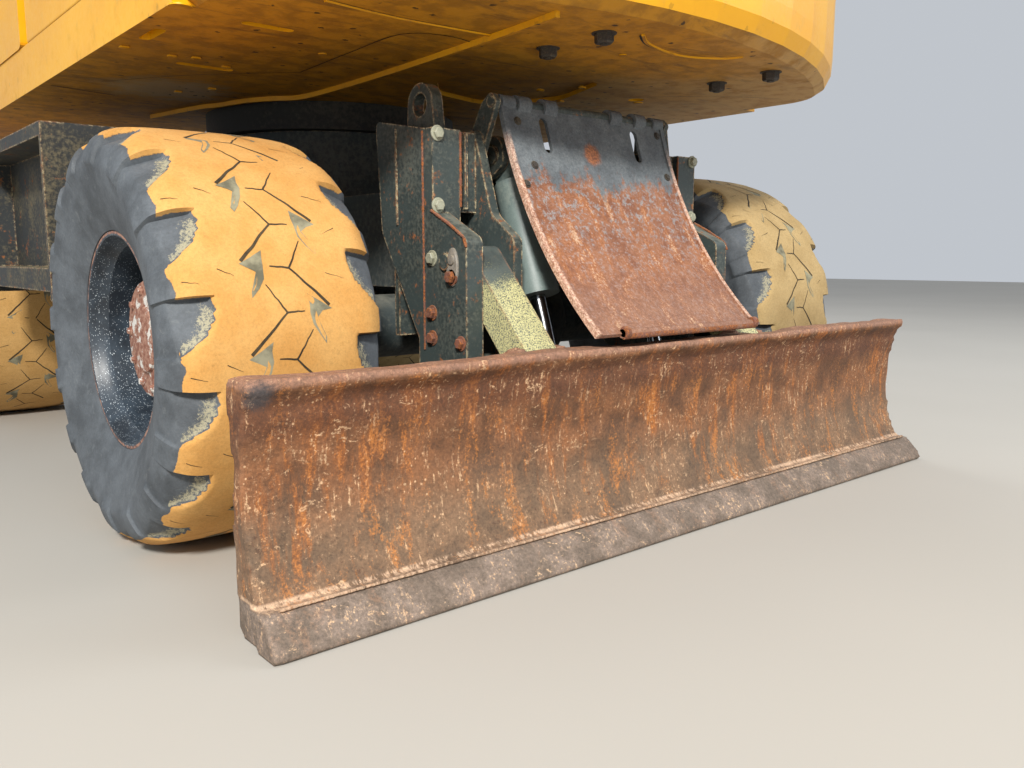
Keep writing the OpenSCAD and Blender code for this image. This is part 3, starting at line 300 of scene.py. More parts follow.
def yellow(name):
    """Satin yellow; faces that look down are ambered, partly with dust and partly with painted shade and a
    painted warm bounce, and carry black chips and beige scale.
    """
    m = Mat(name)
    n1, n2, n3 = m.noise(2.4, 5), m.noise(12, 7, 0.65), m.noise(70, 6, 0.7)
    x, z = m.axis(0), m.axis(2)
    col = m.mix(m.step(n1, 0.35, 0.65), "ebae12", "e2a20c")
    col = m.mix(m.times(m.step(n2, 0.58, 0.75), 0.3), col, "c9a565")
    up = m.times(m.step(m.axis(2, normal=True), 0.6, 0.95), m.step(n2, 0.35, 0.6))
    col = m.mix(m.times(up, 0.4), col, "bda878")
    # painted shade and bounce: faces that look down, and a little the low faces, take a darker amber for their
    # shade and warm light bounced up from below, mixed with real dust, streaks and beige scale
    down = m.step(m.axis(2, normal=True), -0.35, -0.85)
    low = m.step(z, 1.60, 1.44)
    grime_and_shade = m.mix(m.step(n2, 0.34, 0.6), "8f600e", "bd8412")
    streak = m.noise(9, 7, 0.7, stretch=(0.3, 1.4, 1.0), dist=0.5)
    grime_and_shade = m.mix(m.times(m.step(streak, 0.52, 0.68), 0.7), grime_and_shade, "66451a")
    beige = m.times(m.step(m.sway(x, n1, 1.6), 0.1, 0.8), m.step(n2, 0.3, 0.55))
    grime_and_shade = m.mix(m.times(beige, 0.6), grime_and_shade, "b5996a")
    grime_and_shade = m.mix(m.times(m.near(P(-0.86, -0.30, 1.43), 0.20, n2, 0.5, 0.9), 0.7), grime_and_shade, "c9b28a")
    dirt_and_shade = m.times(down, m.step(n2, 0.2, 0.5, 0.75, 1.0))
    dirt_and_shade = m.most(dirt_and_shade, m.times(low, m.step(n2, 0.5, 0.7, 0.0, 0.35)))
    col = m.mix(dirt_and_shade, col, grime_and_shade)
    chips = m.times(m.step(m.sway(m.cells(15), n3, 0.5), 0.15, 0.10), m.step(n1, 0.45, 0.53))
    chips = m.times(chips, m.most(down, m.times(low, 0.3)))
    col = m.mix(m.times(chips, 0.9), col, "221810")
    col = m.mix(m.times(m.edge(0.008), m.step(n2, 0.52, 0.66), 0.5), col, "6b4a26")
    ro = m.math("ADD", m.step(n3, 0.3, 0.7, 0.3, 0.42), m.times(dirt_and_shade, 0.3), clamp=True)
    return m.out(col, ro, m.bump(n3, 0.12, 0.001, m.bump(m.noise(5, 2), 0.08, 0.004)))


def tyre_mat(name, mud_a, mud_b, mud_c, cover=0.0):
    """Rubber under dried mud; the tread's "mud" and "dust" attributes say where each lies."""
    m = Mat(name)
    n1, n2, n3 = m.noise(9, 6, 0.65), m.noise(45, 8, 0.75), m.noise(150, 8, 0.85)
    edge = m.sway(m.sway(m.attr("mud"), n2, 0.5), n3, 0.35)
    mud_f = m.step(edge, 0.44 - cover, 0.56 - cover)
    rub = m.mix(m.step(n1, 0.3, 0.7), "43484d", "5c6268")
    rub = m.mix(m.times(m.step(m.noise(22, 6, 0.7, dist=1.5), 0.56, 0.7), 0.35), rub, "73787a")
    spk = m.step(m.sway(m.sway(m.attr("dust"), n3, 3.2), n2, 1.2), 0.72, 0.95)
    rub = m.mix(m.times(spk, 0.8), rub, "a39c80")
    mud = m.mix(m.step(n1, 0.3, 0.7), mud_a, mud_b)
    mud = m.mix(m.times(m.step(n2, 0.54, 0.74), 0.55), mud, mud_c)
    mud = m.mix(m.times(m.step(m.sway(n3, n2, 0.6), 0.58, 0.68), 0.55), mud, "8a6a38")
    col = m.grain(m.grain(m.mix(mud_f, rub, mud), n3, 0.2), n2, 0.08)
    h = m.math("ADD", m.times(mud_f, 0.6), m.times(n3, 0.35))
    return m.out(col, m.step(mud_f, 0, 1, 0.7, 0.93), m.bump(h, 0.5, 0.0025, m.bump(n2, 0.3, 0.003)))


def rim_mat():
    """Dark blue-grey paint with pale spatter, rusty where the rim's "rust" attribute says."""
    m = Mat("rim_dark")
    n1, n2, n3 = m.noise(8, 6, 0.65), m.noise(60, 6, 0.7), m.noise(24, 6, 0.65)
    col = m.mix(m.step(n1, 0.35, 0.65), "1f262e", "36414c")
    spk = m.step(m.sway(m.cells(210, (1.0, 1.0, 0.6)), n2, 0.5), 0.24, 0.14)
    col = m.mix(m.times(spk, m.step(n1, 0.3, 0.6, 0.35, 1.0)), col, "c3ccd2")
    rf = m.step(m.sway(m.attr("rust"), n2, 0.9), 0.4, 0.6)
    rc = m.mix(m.step(n2, 0.4, 0.6), "7a4c3c", "a07a68")
    rc = m.mix(m.times(m.step(n3, 0.53, 0.58), m.step(m.attr("rust"), 0.6, 0.9), 0.85), rc, "d6d6d0")
    col = m.grain(m.mix(rf, col, rc), m.noise(300, 4), 0.15)
    return m.out(col, m.math("ADD", m.times(rf, 0.3), 0.42), m.bump(n2, 0.25, 0.0012))


def flat(name, color, rough=0.5, grain=200.0, depth=0.0005, tint=0.15):
    """A plain coat with a fine grain and a slightly uneven tone."""
    m = Mat(name)
    n = m.noise(grain, 4, 0.6)
    dark = tuple(x * (1 - tint * 2) for x in srgb(color)[:3]) + (1.0,)
    col = m.mix(m.step(m.noise(18, 6, 0.6), 0.35, 0.65), dark, color)
    return m.out(col, m.math("ADD", m.times(n, 0.16), rough - 0.08), m.bump(n, 0.2, depth))


def link_mat():
    """Dark green-grey above, cream speckle below, brown along the corners."""
    m = Mat("link_speckled")
    n1, n2, n3 = m.noise(10, 6, 0.6), m.noise(230, 6, 0.8), m.noise(40, 6, 0.7)
    col = m.mix(m.step(n1, 0.35, 0.65), "3b4342", "525b58")
    low = m.step(m.sway(m.axis(2), n1, 0.16), 0.80, 0.70)
    s = m.step(m.math("ADD", n2, m.times(low, 0.11)), 0.56, 0.62)
    col = m.mix(m.times(s, low), col, "cdc892")
    col = m.mix(m.times(m.step(m.sway(n2, n3, 0.5), 0.58, 0.66), 0.5), col, "6b5a44")
    col = m.mix(m.times(m.edge(0.014), m.step(n3, 0.42, 0.58), 0.7), col, "96684a")
    return m.out(col, 0.7, m.bump(n2, 0.4, 0.0015))


def chrome_mat():
    """Bright rod with fine upright marks."""
    m = Mat("rod_chrome")
    n = m.noise(300, 3, stretch=(1, 1, 0.1))
    col = m.mix(m.step(n, 0.3, 0.8), "c8ccd0", "9a9da0")
    return m.out(col, m.step(n, 0.3, 0.7, 0.12, 0.22), metal=1.0)


def glass_mat():
    """Tinted glass, its gloss slightly uneven."""
    m = Mat("cab_glass_tint")
    m.b.inputs["Transmission Weight"].default_value = 0.85
    m.b.inputs["IOR"].default_value = 1.45
    return m.out("a9bcc0", m.step(m.noise(30, 4), 0.4, 0.8, 0.03, 0.14))


def cloth_mat():
    """Dark woven cloth with dusty patches."""
    m = Mat("seat_weave")
    w = m.most(m.noise(700, 2, stretch=(1, 1, 0.2)), m.noise(700, 2, stretch=(0.2, 0.2, 1)))
    col = m.mix(m.step(w, 0.4, 0.7), "1f2126", "3a3d44")
    m.b.inputs["Sheen Weight"].default_value = 0.3
    return m.out(m.mix(m.step(m.noise(14, 4), 0.4, 0.7), col, "4a4640"), 0.92, m.bump(w, 0.4, 0.0008))


CARRIER = worn("carrier_paint", "434d4e", "333b3d", "8d8e83", 0.3, 0.3, 0.55, edges=0.5)
STEPS = worn("step_paint", "2b2f31", "1c1f20", "857a5c", 0.45, 0.7, 0.6, fine=1.4, edges=0.8)
BRACKET = worn("bracket_paint", "3d4746", "2b3332", "777b71", 0.4, 0.75, 0.55, fine=1.6, edges=1.0)
BLACK = worn("ring_dark", "2a2d2e", "1f2223", "6b665a", 0.35, 0.3, 0.6)
LINKM, CHROME, GLASS, RIM, GUARD = link_mat(), chrome_mat(), glass_mat(), rim_mat(), guard_mat()
TYRE = tyre_mat("tyre_mud", "c48f4a", "cf9f5c", "ad7a3b")
TYRE_DUSTY = tyre_mat("tyre_dusty", "a48a5c", "b59b6c", "7d6a48", 0.08)
TYRE_TAN = tyre_mat("tyre_tan", "b98f52", "c79d60", "93703f", 0.04)
CYL = worn("cylinder_paint", "6e7d7a", "5d6b69", "9aa095", 0.35, 0.1, 0.42)
YEL = yellow("yellow_paint")
RUST = rusty("blade_rust")
BUCKET = worn("bucket_steel", "6e675e", "524b44", "9a8c74", 0.5, 0.7, 0.6, edges=0.7, edge_tone="b9b2a6")
DARKP = flat("dark_plastic", "2a2c2e", 0.55)
BLACKR = flat("black_rubber", "161718", 0.7)
CLOTH = cloth_mat()
RAIL = flat("rail_black", "1d1f20", 0.4)
LENS = flat("lamp_lens", "dfe3e4", 0.12, grain=60)
BOLT = worn("bolt_pale", "a3a592", "7b7c6a", "b8b59c", 0.6, 0.35, 0.5, fine=3)
RBOLT = worn("bolt_rust", "7e5040", "5b392d", "a07c64", 0.5, 1.2, 0.8, fine=3)
BOLTD = worn("bolt_dark", "3b3631", "26221f", "6f6550", 0.4, 0.4, 0.6, fine=3)
STEEL = worn("worn_steel", "8d8880", "6e6860", "a49a88", 0.4, 0.5, 0.45, fine=2)
# painted shade: the grooves and cracks in the mud are flat dark strips standing for the shade inside them
SIPE_SHADE = flat("sipe_painted_shade", "4c402c", 0.95, grain=140, tint=0.3)
PATCH = flat("sipe_patch", "948f76", 0.95, grain=140, depth=0.002, tint=0.3)


def paint(mat, *names):
    """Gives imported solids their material."""
    for n in names:
        d = nodes[n].data
        d.materials.clear()
        d.materials.append(mat)


paint(CARRIER, "chassis_frame", "rear_axle", "front_axle", "drive_line", "knuckle_left", "knuckle_right")
paint(STEPS, "step_box_left", "step_box_right")
paint(BRACKET, "blade_bracket", "blade_arms")
paint(BLACK, "slew_ring", "engine", "bucket_rocker", "bucket_link")
paint(LINKM, "blade_links")
paint(CYL, "blade_barrels")
paint(CHROME, "steering_rod", "blade_rods", "boom_rods", "arm_rod", "bucket_rod")
paint(YEL, "upper_frame", "counterweight", "side_panel_left", "side_panel_right", "hood", "tank",
      "cab", "cab_door", "boom", "boom_barrels", "arm_barrel", "arm", "bucket_barrel")
paint(GUARD, "cylinder_guard")
paint(BUCKET, "bucket")
paint(GLASS, "cab_glass", "door_glass")
paint(DARKP, "console")
paint(RAIL, "handrails", "mirrors", "exhaust")


# Mesh helpers
def mesh(name, verts, faces, mat, body, slot, angle=35):
    """A piece shaded smooth, creased where faces meet at more than angle degrees."""
    d = bpy.data.meshes.new(name)
    d.from_pydata([tuple(v) for v in verts], [], faces)
    d.validate()
    d.materials.append(mat)
    o = bpy.data.objects.new(name, d)
    bpy.context.scene.collection.objects.link(o)
    bm = bmesh.new()
    bm.from_mesh(d)
    bmesh.ops.recalc_face_normals(bm, faces=bm.faces)
    for f in bm.faces:
        f.smooth = True
    for e in bm.edges:
        if len(e.link_faces) == 2 and e.calc_face_angle(0) > radians(angle):
            e.smooth = False
    bm.to_mesh(d)
    bm.free()
    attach(o, body)
    return o


def facing(at, axis):
    """The frame at a point whose Z looks along axis."""
    return Matrix.Translation(at) @ Vector(axis).to_track_quat("Z", "Y").to_matrix().to_4x4()


class Build:
    """Gathers many small solids into one mesh."""

    def __init__(self):
        self.v, self.f = [], []

    def add(self, verts, faces, m=None):
        k = len(self.v)
        self.v += [(m @ Vector(p)) if m else Vector(p) for p in verts]
        self.f += [tuple(k + i for i in f) for f in faces]

    def rings(self, rings, m=None):
        """Skins a row of rings with the same count of points and caps both ends."""
        n = len(rings[0])
        f = [(k * n + i, k * n + (i + 1) % n, (k + 1) * n + (i + 1) % n, (k + 1) * n + i)
             for k in range(len(rings) - 1) for i in range(n)]
        f += [tuple(range(n)), tuple((len(rings) - 1) * n + i for i in range(n))]
        self.add([p for r in rings for p in r], f, m)

    def turned(self, m, rows, n=24, oval=1.0):
        """Revolves rows of (radius, height) about local Z, stretched along local Y by oval."""
        circle = [(cos(2 * pi * i / n), sin(2 * pi * i / n)) for i in range(n)]
        self.rings([[(r * c, oval * r * s, z) for c, s in circle] for r, z in rows], m)

    def bolt(self, at, axis, r, h):
        """A hex head on a washer, its axis pointing out of the surface."""
        m = facing(at, axis)
        self.turned(m, [(r * 1.35, -0.002), (r * 1.35, 0.002), (r * 1.2, 0.003)], 20)
        self.turned(m, [(r, 0.002), (r, h * 0.8), (r * 0.86, h)], 6)

    def box(self, lo, hi, c=0.003):
        """A block with its edges cut by c."""
        def loop(z, i):
            a, b = (lo[0] + i, lo[1] + i), (hi[0] - i, hi[1] - i)
            return [(a[0] + c, a[1], z), (b[0] - c, a[1], z), (b[0], a[1] + c, z), (b[0], b[1] - c, z),
                    (b[0] - c, b[1], z), (a[0] + c, b[1], z), (a[0], b[1] - c, z), (a[0], a[1] + c, z)]
        self.rings([loop(lo[2], c), loop(lo[2] + c, 0), loop(hi[2] - c, 0), loop(hi[2], c)])

    def tube(self, pts, r, n=10):
        """A round tube along a list of points; r is one radius or one for each point."""
        pts = [Vector(p) for p in pts]
        up = Vector((0.3, 0.5, 0.8)).normalized()
        out = []
        for i, p in enumerate(pts):
            q = r[i] if isinstance(r, list) else r
            t = (pts[min(i + 1, len(pts) - 1)] - pts[max(i - 1, 0)]).normalized()
            s = t.cross(up).normalized()
            w = s.cross(t).normalized()
            out.append([p + (s * cos(2 * pi * k / n) + w * sin(2 * pi * k / n)) * q for k in range(n)])
        self.rings(out)

    def ribbon(self, pts, w, h, lift, across=None):
        """A low bar of width w and height h along pts, raised along the vector lift."""
        pts = [Vector(p) for p in pts]
        lift, out = Vector(lift).normalized(), []
        for i, p in enumerate(pts):
            t = (pts[min(i + 1, len(pts) - 1)] - pts[max(i - 1, 0)]).normalized()
            s = (across or t.cross(lift)).normalized() * w / 2
            low, top = p - lift * 0.002, p + lift * h
            out.append([low - s, top - s * 0.85, top + s * 0.85, low + s])
        self.rings(out)

    def bead(self, pts, r, seed=0):
        """A weld bead: a tube whose radius ripples along its run."""
        c = []
        for a, b in zip(pts, pts[1:]):
            k = max(2, int((b - a).length / 0.007))
            c += [a.lerp(b, i / k) for i in range(k)]
        c.append(pts[-1])
        self.tube(c, [r * (0.8 + 0.25 * (i % 2) + 0.3 * noise.noise(p * 60 + Vector((seed, 0, 0))))
                      for i, p in enumerate(c)], 7)

    def make(self, name, mat, body, slot, **k):
        return mesh(name, self.v, self.f, mat, body, slot, **k)


def curve(pts, steps=6):
    """Points of a smooth line through pts."""
    pts = [Vector(p) for p in pts]
    out = []
    for i in range(len(pts) - 1):
        a, b = pts[max(i - 1, 0)], pts[i]
        c, d = pts[i + 1], pts[min(i + 2, len(pts) - 1)]
        for k in range(steps):
            t = k / steps
            out.append(0.5 * ((2 * b) + (c - a) * t + (2 * a - 5 * b + 4 * c - d) * t * t
                              + (3 * b - a - 3 * c + d) * t ** 3))
    return out + [pts[-1]]


def between(rows, x):
    """The value at x on a line through rows of (x, value)."""
    for (a, u), (b, w) in zip(rows, rows[1:]):
        if x <= b:
            return u + (w - u) * max(0.0, (x - a) / (b - a))
    return rows[-1][1]


def ramp(x, lo, hi):
    """A smooth step from 0 at lo to 1 at hi."""
    t = max(0.0, min(1.0, (x - lo) / (hi - lo)))
    return t * t * (3 - 2 * t)


# Tyres
TYRE_R, LUGS = 0.575, 16
PITCH = 2 * pi / LUGS
LUG_RUN = PITCH * TYRE_R
STEEP = radians(166.0)      # where a steep wall of the outer row stands, from +Y over +Z
EVEN_COLUMNS = 27           # of the mesh, along each lug
WALL_COLUMNS = (0.0, 0.009, 0.135, 0.5, 0.509, 0.635)       # further ones where a notch starts or ends
# Half of the section: (distance from the tyre's middle, radius)
CROWN = [(0.0, 0.5750), (0.038, 0.5748), (0.075, 0.5744), (0.105, 0.5738), (0.130, 0.5732), (0.150, 0.5725),
         (0.162, 0.5718), (0.172, 0.5711), (0.180, 0.5706), (0.188, 0.5701), (0.197, 0.5693), (0.207, 0.5681),
         (0.217, 0.5662), (0.227, 0.5635), (0.237, 0.5595), (0.246, 0.5545), (0.254, 0.5480), (0.261, 0.5405)]
WALL = [(0.267, 0.531), (0.272, 0.520), (0.277, 0.508), (0.281, 0.496), (0.284, 0.485), (0.286, 0.476),
        (0.286, 0.467), (0.284, 0.452), (0.280, 0.430), (0.274, 0.405), (0.267, 0.380), (0.257, 0.350),
        (0.246, 0.322), (0.238, 0.304), (0.236, 0.300), (0.222, 0.300), (0.217, 0.285)]
# The notch between two shoulder lugs: (distance down the tread from its steep wall, its inner end)
NOTCH = [(0.0, 0.180), (0.030, 0.178), (0.073, 0.190), (0.100, 0.214), (0.128, 0.242), (0.138, 0.254),
         (0.143, 0.300)]
NOTCH_LEN = NOTCH[-1][0]


def notch_depth(d, v, r):
    """How far a notch's floor lies under the crown, at d along the tread and v from the middle."""
    if d > NOTCH_LEN:
        return 0.0
    lim = between(NOTCH, d)
    floor = 0.551 - 0.404 * (v - 0.180) + 0.158 * d
    return max(0.0, r - floor) * ramp(v, lim - 0.002, lim + 0.010)


def tyre(name, side, y, body, turn, mat):
    """A tyre's skin with notched shoulder lugs, and its grooves and scoops laid on the crown; the grooves are
    flat strips of painted shade.
    """
    rows = [(-v, r) for v, r in reversed(WALL)] + [(-v, r) for v, r in reversed(CROWN[1:])]
    rows += CROWN + WALL
    cols = sorted([(k + 0.5) / EVEN_COLUMNS for k in range(EVEN_COLUMNS)] + list(WALL_COLUMNS))
    n = LUGS * len(cols)
    cx = side * WHEEL_X
    verts, mud, dust = [], [], []
    for v, r in rows:
        for i in range(n):
            ph = i // len(cols) + cols[i % len(cols)]
            d = ((ph - (0.0 if v > 0 else 0.5)) % 1.0) * LUG_RUN
            t = STEEP + turn + ph * PITCH
            dep = notch_depth(d, abs(v), r) if r > 0.49 else 0.0
            lug = ramp(d, NOTCH_LEN - 0.001, NOTCH_LEN + 0.004) * ramp(d, LUG_RUN + 0.001, LUG_RUN - 0.003)
            swell = lug * ramp(r, 0.462, 0.470) * ramp(r, 0.556, 0.53) * 0.009
            p = Vector((cos(t) * 4 + side * 9, sin(t) * 4, v * 6 + y))
            rr = r - dep + noise.noise(p) * 0.0015 * (r > 0.5)
            vv = v + math.copysign(swell - dep * 0.12, v)
            verts.append(P(cx + side * vv, y, AXLE_Z) + Vector((0, rr * cos(t), rr * sin(t))))
            edge = noise.noise(p * 3.1) * 0.010
            mud.append(ramp(r, 0.538 + edge, 0.550 + edge) * (1 - ramp(dep, 0.001, 0.006)))
            lim = between(NOTCH, d) if d < NOTCH_LEN else 0.3
            inner = ramp(abs(v), lim + 0.062, lim + 0.012)
            dust.append(ramp(dep, 0.002, 0.006) * inner * ramp(d, -0.01, 0.03))
    m = len(rows)
    faces = [(k * n + i, k * n + (i + 1) % n, (k + 1) * n + (i + 1) % n, (k + 1) * n + i)
             for k in range(m - 1) for i in range(n)]
    o = mesh(name, verts, faces, mat, body, "tyre", angle=50)
    for key, vals in (("mud", mud), ("dust", dust)):
        o.data.attributes.new(key, "FLOAT", "POINT").data.foreach_set("value", vals)

    def skin(d, v, lift):
        """A place on the crown, d along the tread and v from the middle."""
        r = between(CROWN, abs(v)) + lift
        t = STEEP + turn + d / TYRE_R
        return P(cx + side * v, y, AXLE_Z) + Vector((0, r * cos(t), r * sin(t)))

    grooves, scoops = Build(), Build()

    def groove(d0, s, a, b, wa, wb, key):
        """A groove from a to b as a flat strip of painted shade, each (down the tread, from the middle), wa
        and wb wide at its ends.
        """
        line = Vector((b[0] - a[0], b[1] - a[1]))
        k = max(3, int(line.length / 0.009))
        nx = Vector((-line.y, line.x)).normalized()
        v = []
        for q in range(k + 1):
            t = q / k
            c = Vector((a[0] + line.x * t, a[1] + line.y * t))
            c += nx * noise.noise(Vector((a[0] + t * 4, key, s))) * 0.003 * sin(pi * t)
            w = nx * (wa + (wb - wa) * t) / 2
            v += [skin(d0 + c.x + e.x, s * (c.y + e.y), 0.0007) for e in (w, -w)]
        grooves.add(v, [(2 * q, 2 * q + 1, 2 * q + 3, 2 * q + 2) for q in range(k)])

    scoop = [(0.150, 0.112), (0.132, 0.082), (0.112, 0.050), (0.136, 0.053), (0.158, 0.054), (0.186, 0.058),
             (0.212, 0.072), (0.235, 0.090), (0.222, 0.094), (0.196, 0.078), (0.172, 0.070), (0.160, 0.086)]
    cracks = [((0.075, 0.160), (0.060, 0.108)), ((0.178, 0.128), (0.160, 0.165)),
              ((0.195, 0.21), (0.186, 0.245))]
    for s in (1, -1):
        for i in range(LUGS):
            d0 = (i + (0 if s > 0 else 0.5)) * LUG_RUN
            key = i * 1.7 + side * 3 + y
            fork = (0.045 + noise.noise(Vector((key, 1, s))) * 0.006,
                    0.010 + noise.noise(Vector((key, 5, s))) * 0.006)
            # the arm running down and outwards is the widest strip of painted shade
            groove(d0, s, fork, (0.142, 0.106), 0.0045, 0.0085, key)
            groove(d0, s, (-0.025, 0.055), fork, 0.0025, 0.005, key + 9)
            groove(d0, s, fork, (0.042, -0.037), 0.005, 0.003, key + 5)
            for a, b in cracks:
                if noise.noise(Vector((key, a[0] * 40, s))) > -0.12:
                    groove(d0, s, a, b, 0.0006, 0.0022, key + a[0])
            g = []
            for q, (a, b) in enumerate(scoop):
                w = Vector((key + q * 1.3, b * 30, s))
                g.append((a + noise.noise(w) * 0.006, b + noise.noise(w + Vector((7, 7, 7))) * 0.006))
            scoops.add([skin(d0 + a, s * b, 0.0004) for a, b in [(0.150, 0.066)] + g],
                       [(0, 1 + q, 1 + (q + 1) % len(g)) for q in range(len(g))])
    grooves.make(name + "_groove_shade", SIPE_SHADE, body, "tyre")
    scoops.make(name + "_scoops", PATCH, body, "tyre")
    return o


def rim(name, side, y, body):
    """A deep dished rim; each row is (radius, distance in from the flange), from the back to the hub."""
    rows = [(0.284, 0.466), (0.284, 0.020), (0.297, 0.014), (0.299, 0.007), (0.2985, 0.001), (0.292, 0.0),
            (0.286, 0.002), (0.281, 0.014), (0.276, 0.036), (0.262, 0.050), (0.257, 0.120), (0.254, 0.152),
            (0.246, 0.164), (0.238, 0.206), (0.215, 0.224), (0.175, 0.230), (0.168, 0.224), (0.165, 0.126),
            (0.165, 0.084), (0.160, 0.077), (0.110, 0.074), (0.094, 0.073), (0.090, 0.064), (0.066, 0.061),
            (0.0005, 0.060)]
    b = Build()
    m = Matrix.Translation(P(side * WHEEL_X, y, AXLE_Z)) @ Matrix.Rotation(side * pi / 2, 4, "Y")
    b.turned(m, [(r, FLANGE - z) for r, z in rows], 96)
    bolts, circle = 10, 0.137
    for i in range(bolts):
        t = 2 * pi * i / bolts + 0.2
        at = Vector((circle * cos(t), circle * sin(t), FLANGE - 0.075))
        b.bolt(m @ at, m.to_3x3() @ Vector((0, 0, 1)), 0.010, 0.010)
    o = b.make(name, RIM, body, "rim_paint")
    inv = m.inverted()
    rust = []
    for v in o.data.vertices:
        q = inv @ v.co
        r, deep = math.hypot(q.x, q.y), FLANGE - q.z
        if r < 0.17:
            rust.append(1.0 if deep < 0.085 else 0.42)
        else:
            rust.append(0.55 if r > 0.2885 and deep < 0.02 else 0.0)
    o.data.attributes.new("rust", "FLOAT", "POINT").data.foreach_set("value", rust)
    return o


# each wheel is turned by its own few degrees, so that the lugs don't line up
WHEELS = (("rear_left", -1, REAR_Y, 0, TYRE), ("rear_right", 1, REAR_Y, 7, TYRE_DUSTY),
          ("front_left", -1, FRONT_Y, 4, TYRE_TAN), ("front_right", 1, FRONT_Y, 13, TYRE_DUSTY))
for tag, side, y, turn, mat in WHEELS:
    wheel = "wheel_" + tag
    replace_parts(tyre("tread_" + tag, side, y, wheel, radians(turn), mat), "tyre_" + tag)
    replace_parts(rim(wheel, side, y, wheel), "rim_" + tag)


# Blade
STRIP_TOP, HOLLOW_Z, LIP_Z, BLADE_TOP = 0.085, 0.494, 0.535, 0.545
STRIP_Y = -2.1385           # the blade's face along the top of its wear strip


def reworked(node, name, mat, voxel, body):
    """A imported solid's own form, remeshed finely enough to be dented."""
    o = bpy.data.objects.new(name, nodes[node].data.copy())
    bpy.context.scene.collection.objects.link(o)
    md = o.modifiers.new("r", "REMESH")
    md.mode, md.voxel_size, md.use_smooth_shade = "VOXEL", voxel, True
    dg = bpy.context.evaluated_depsgraph_get()
    d = bpy.data.meshes.new_from_object(o.evaluated_get(dg))
    o.modifiers.clear()
    o.data = d
    d.materials.clear()
    d.materials.append(mat)
    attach(o, body)
    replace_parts(o, node)
    return o


blade = reworked("blade", "blade_worn", RUST, 0.010, "blade")
normals = [v.normal.copy() for v in blade.data.vertices]
for v, n in zip(blade.data.vertices, normals):
    p = v.co.copy()
    if p.z < 0.012:
        continue            # the cutting edge stays straight on the ground
    # broad waves, creases that run slantwise, pits and a few deep dents
    a = noise.noise(Vector((p.x * 2.4, p.y, p.z * 3.4))) * 0.006 + noise.noise(p * 9) * 0.0022
    a += noise.noise(Vector((p.x * 3.5, 4.0, p.z * 15 + p.x * 3))) * 0.0045 * ramp(p.z, 0.10, 0.2)
    a += noise.noise(p * 40) * 0.0007
    a -= max(0.0, noise.noise(p * 6 + Vector((5, 2, 8))) - 0.35) * 0.02
    a *= 0.35 + 0.65 * ramp(p.z, STRIP_TOP, 0.12)
    # the rolled lip stands out and the face under it is hollow
    lip = 0.006 * ramp(p.z, 0.515, LIP_Z) - 0.007 * math.exp(-((p.z - HOLLOW_Z) / 0.020) ** 2)
    a += ramp(-n.y, 0.2, 0.5) * lip
    v.co = p + n * max(-0.012, min(0.008, a))
    wave = noise.noise(Vector((p.x * 2.6, 3, 1))) * 0.008 + noise.noise(Vector((p.x * 13, 1, 7))) * 0.0025
    v.co.z += ramp(p.z, 0.50, BLADE_TOP) * wave

welds = Build()
seam = [P(x / 20, STRIP_Y + noise.noise(Vector((x * 0.6, 0, 0))) * 0.001, 0.0885) for x in range(-27, 28)]
welds.bead(seam, 0.0042)
welds.make("blade_weld", RUST, "blade", "blade_rust")


# The bracket between the blade and the carrier
CHEEK, CHANNEL_Y = 0.601, -1.642        # the bracket's outer side, and the face of its channel
CLEVIS = [(-1.632, 0.937), (-1.715, 0.898), (-1.785, 0.858), (-1.797, 0.83)]       # its upper edge, as (y, z)
hexes, rusts, trims, beads, keys = Build(), Build(), Build(), Build(), Build()
for s in (-1, 1):
    out, front = (s, 0, 0), (0, -1, 0)
    for z in (1.155, 0.952):
        hexes.bolt(P(s * 0.583, CHANNEL_Y, z), front, 0.0165, 0.014)
    hexes.bolt(P(s * CHEEK, -1.634, 0.800), out, 0.0175, 0.014)
    for z in (0.641, 0.567):
        rusts.bolt(P(s * CHEEK, -1.632, z), out, 0.017, 0.015)
    rusts.bolt(P(s * 0.604, -1.733, 0.747), out, 0.018, 0.016)
    rusts.bolt(P(s * CHEEK, -1.770, 0.560), out, 0.016, 0.014)
    # the oval keeper of the link's pin, and the pin's end
    keeper = facing(P(s * 0.600, -1.735, 0.775), out)
    keys.turned(keeper, [(0.026, -0.004), (0.026, 0.004), (0.023, 0.007)], 28, oval=2.1)
    pin = facing(P(s * 0.607, -1.737, 0.795), out)
    keys.turned(pin, [(0.014, -0.002), (0.013, 0.005), (0.004, 0.006)], 20)
    # weld beads round the clevis, down the channel's corners and along the side plate
    beads.bead([P(s * CHEEK, y, z) for y, z in CLEVIS], 0.005)
    beads.bead([P(s * CHEEK, -1.592, z) for z in (1.165, 0.95, 0.75, 0.53)], 0.004, 3)
    beads.bead([P(s * 0.500, -1.641, z) for z in (1.165, 0.95)], 0.004, 5)
    beads.bead([P(s * 0.541, -1.598, z) for z in (0.93, 0.7, 0.5)], 0.005, 6)
    flange = [P(s * 0.470, -1.617, z) for z in (0.945, 1.165)]
    trims.ribbon(flange, 0.012, 0.014, front, Vector((1, 0, 0)))
    strip = [P(s * 0.602, -1.455, z) for z in (0.90, 1.185)]
    trims.ribbon(strip, 0.006, 0.003, out, Vector((0, 1, 0)))
hexes.make("bracket_bolts", BOLT, "root", "carrier_paint", angle=20)
rusts.make("bracket_bolts_rusty", RBOLT, "root", "carrier_paint", angle=20)
keys.make("bracket_pin_keepers", STEEL, "root", "dark_steel")
trims.make("bracket_trims", BRACKET, "root", "carrier_paint")
beads.make("bracket_welds", RBOLT, "root", "carrier_paint")

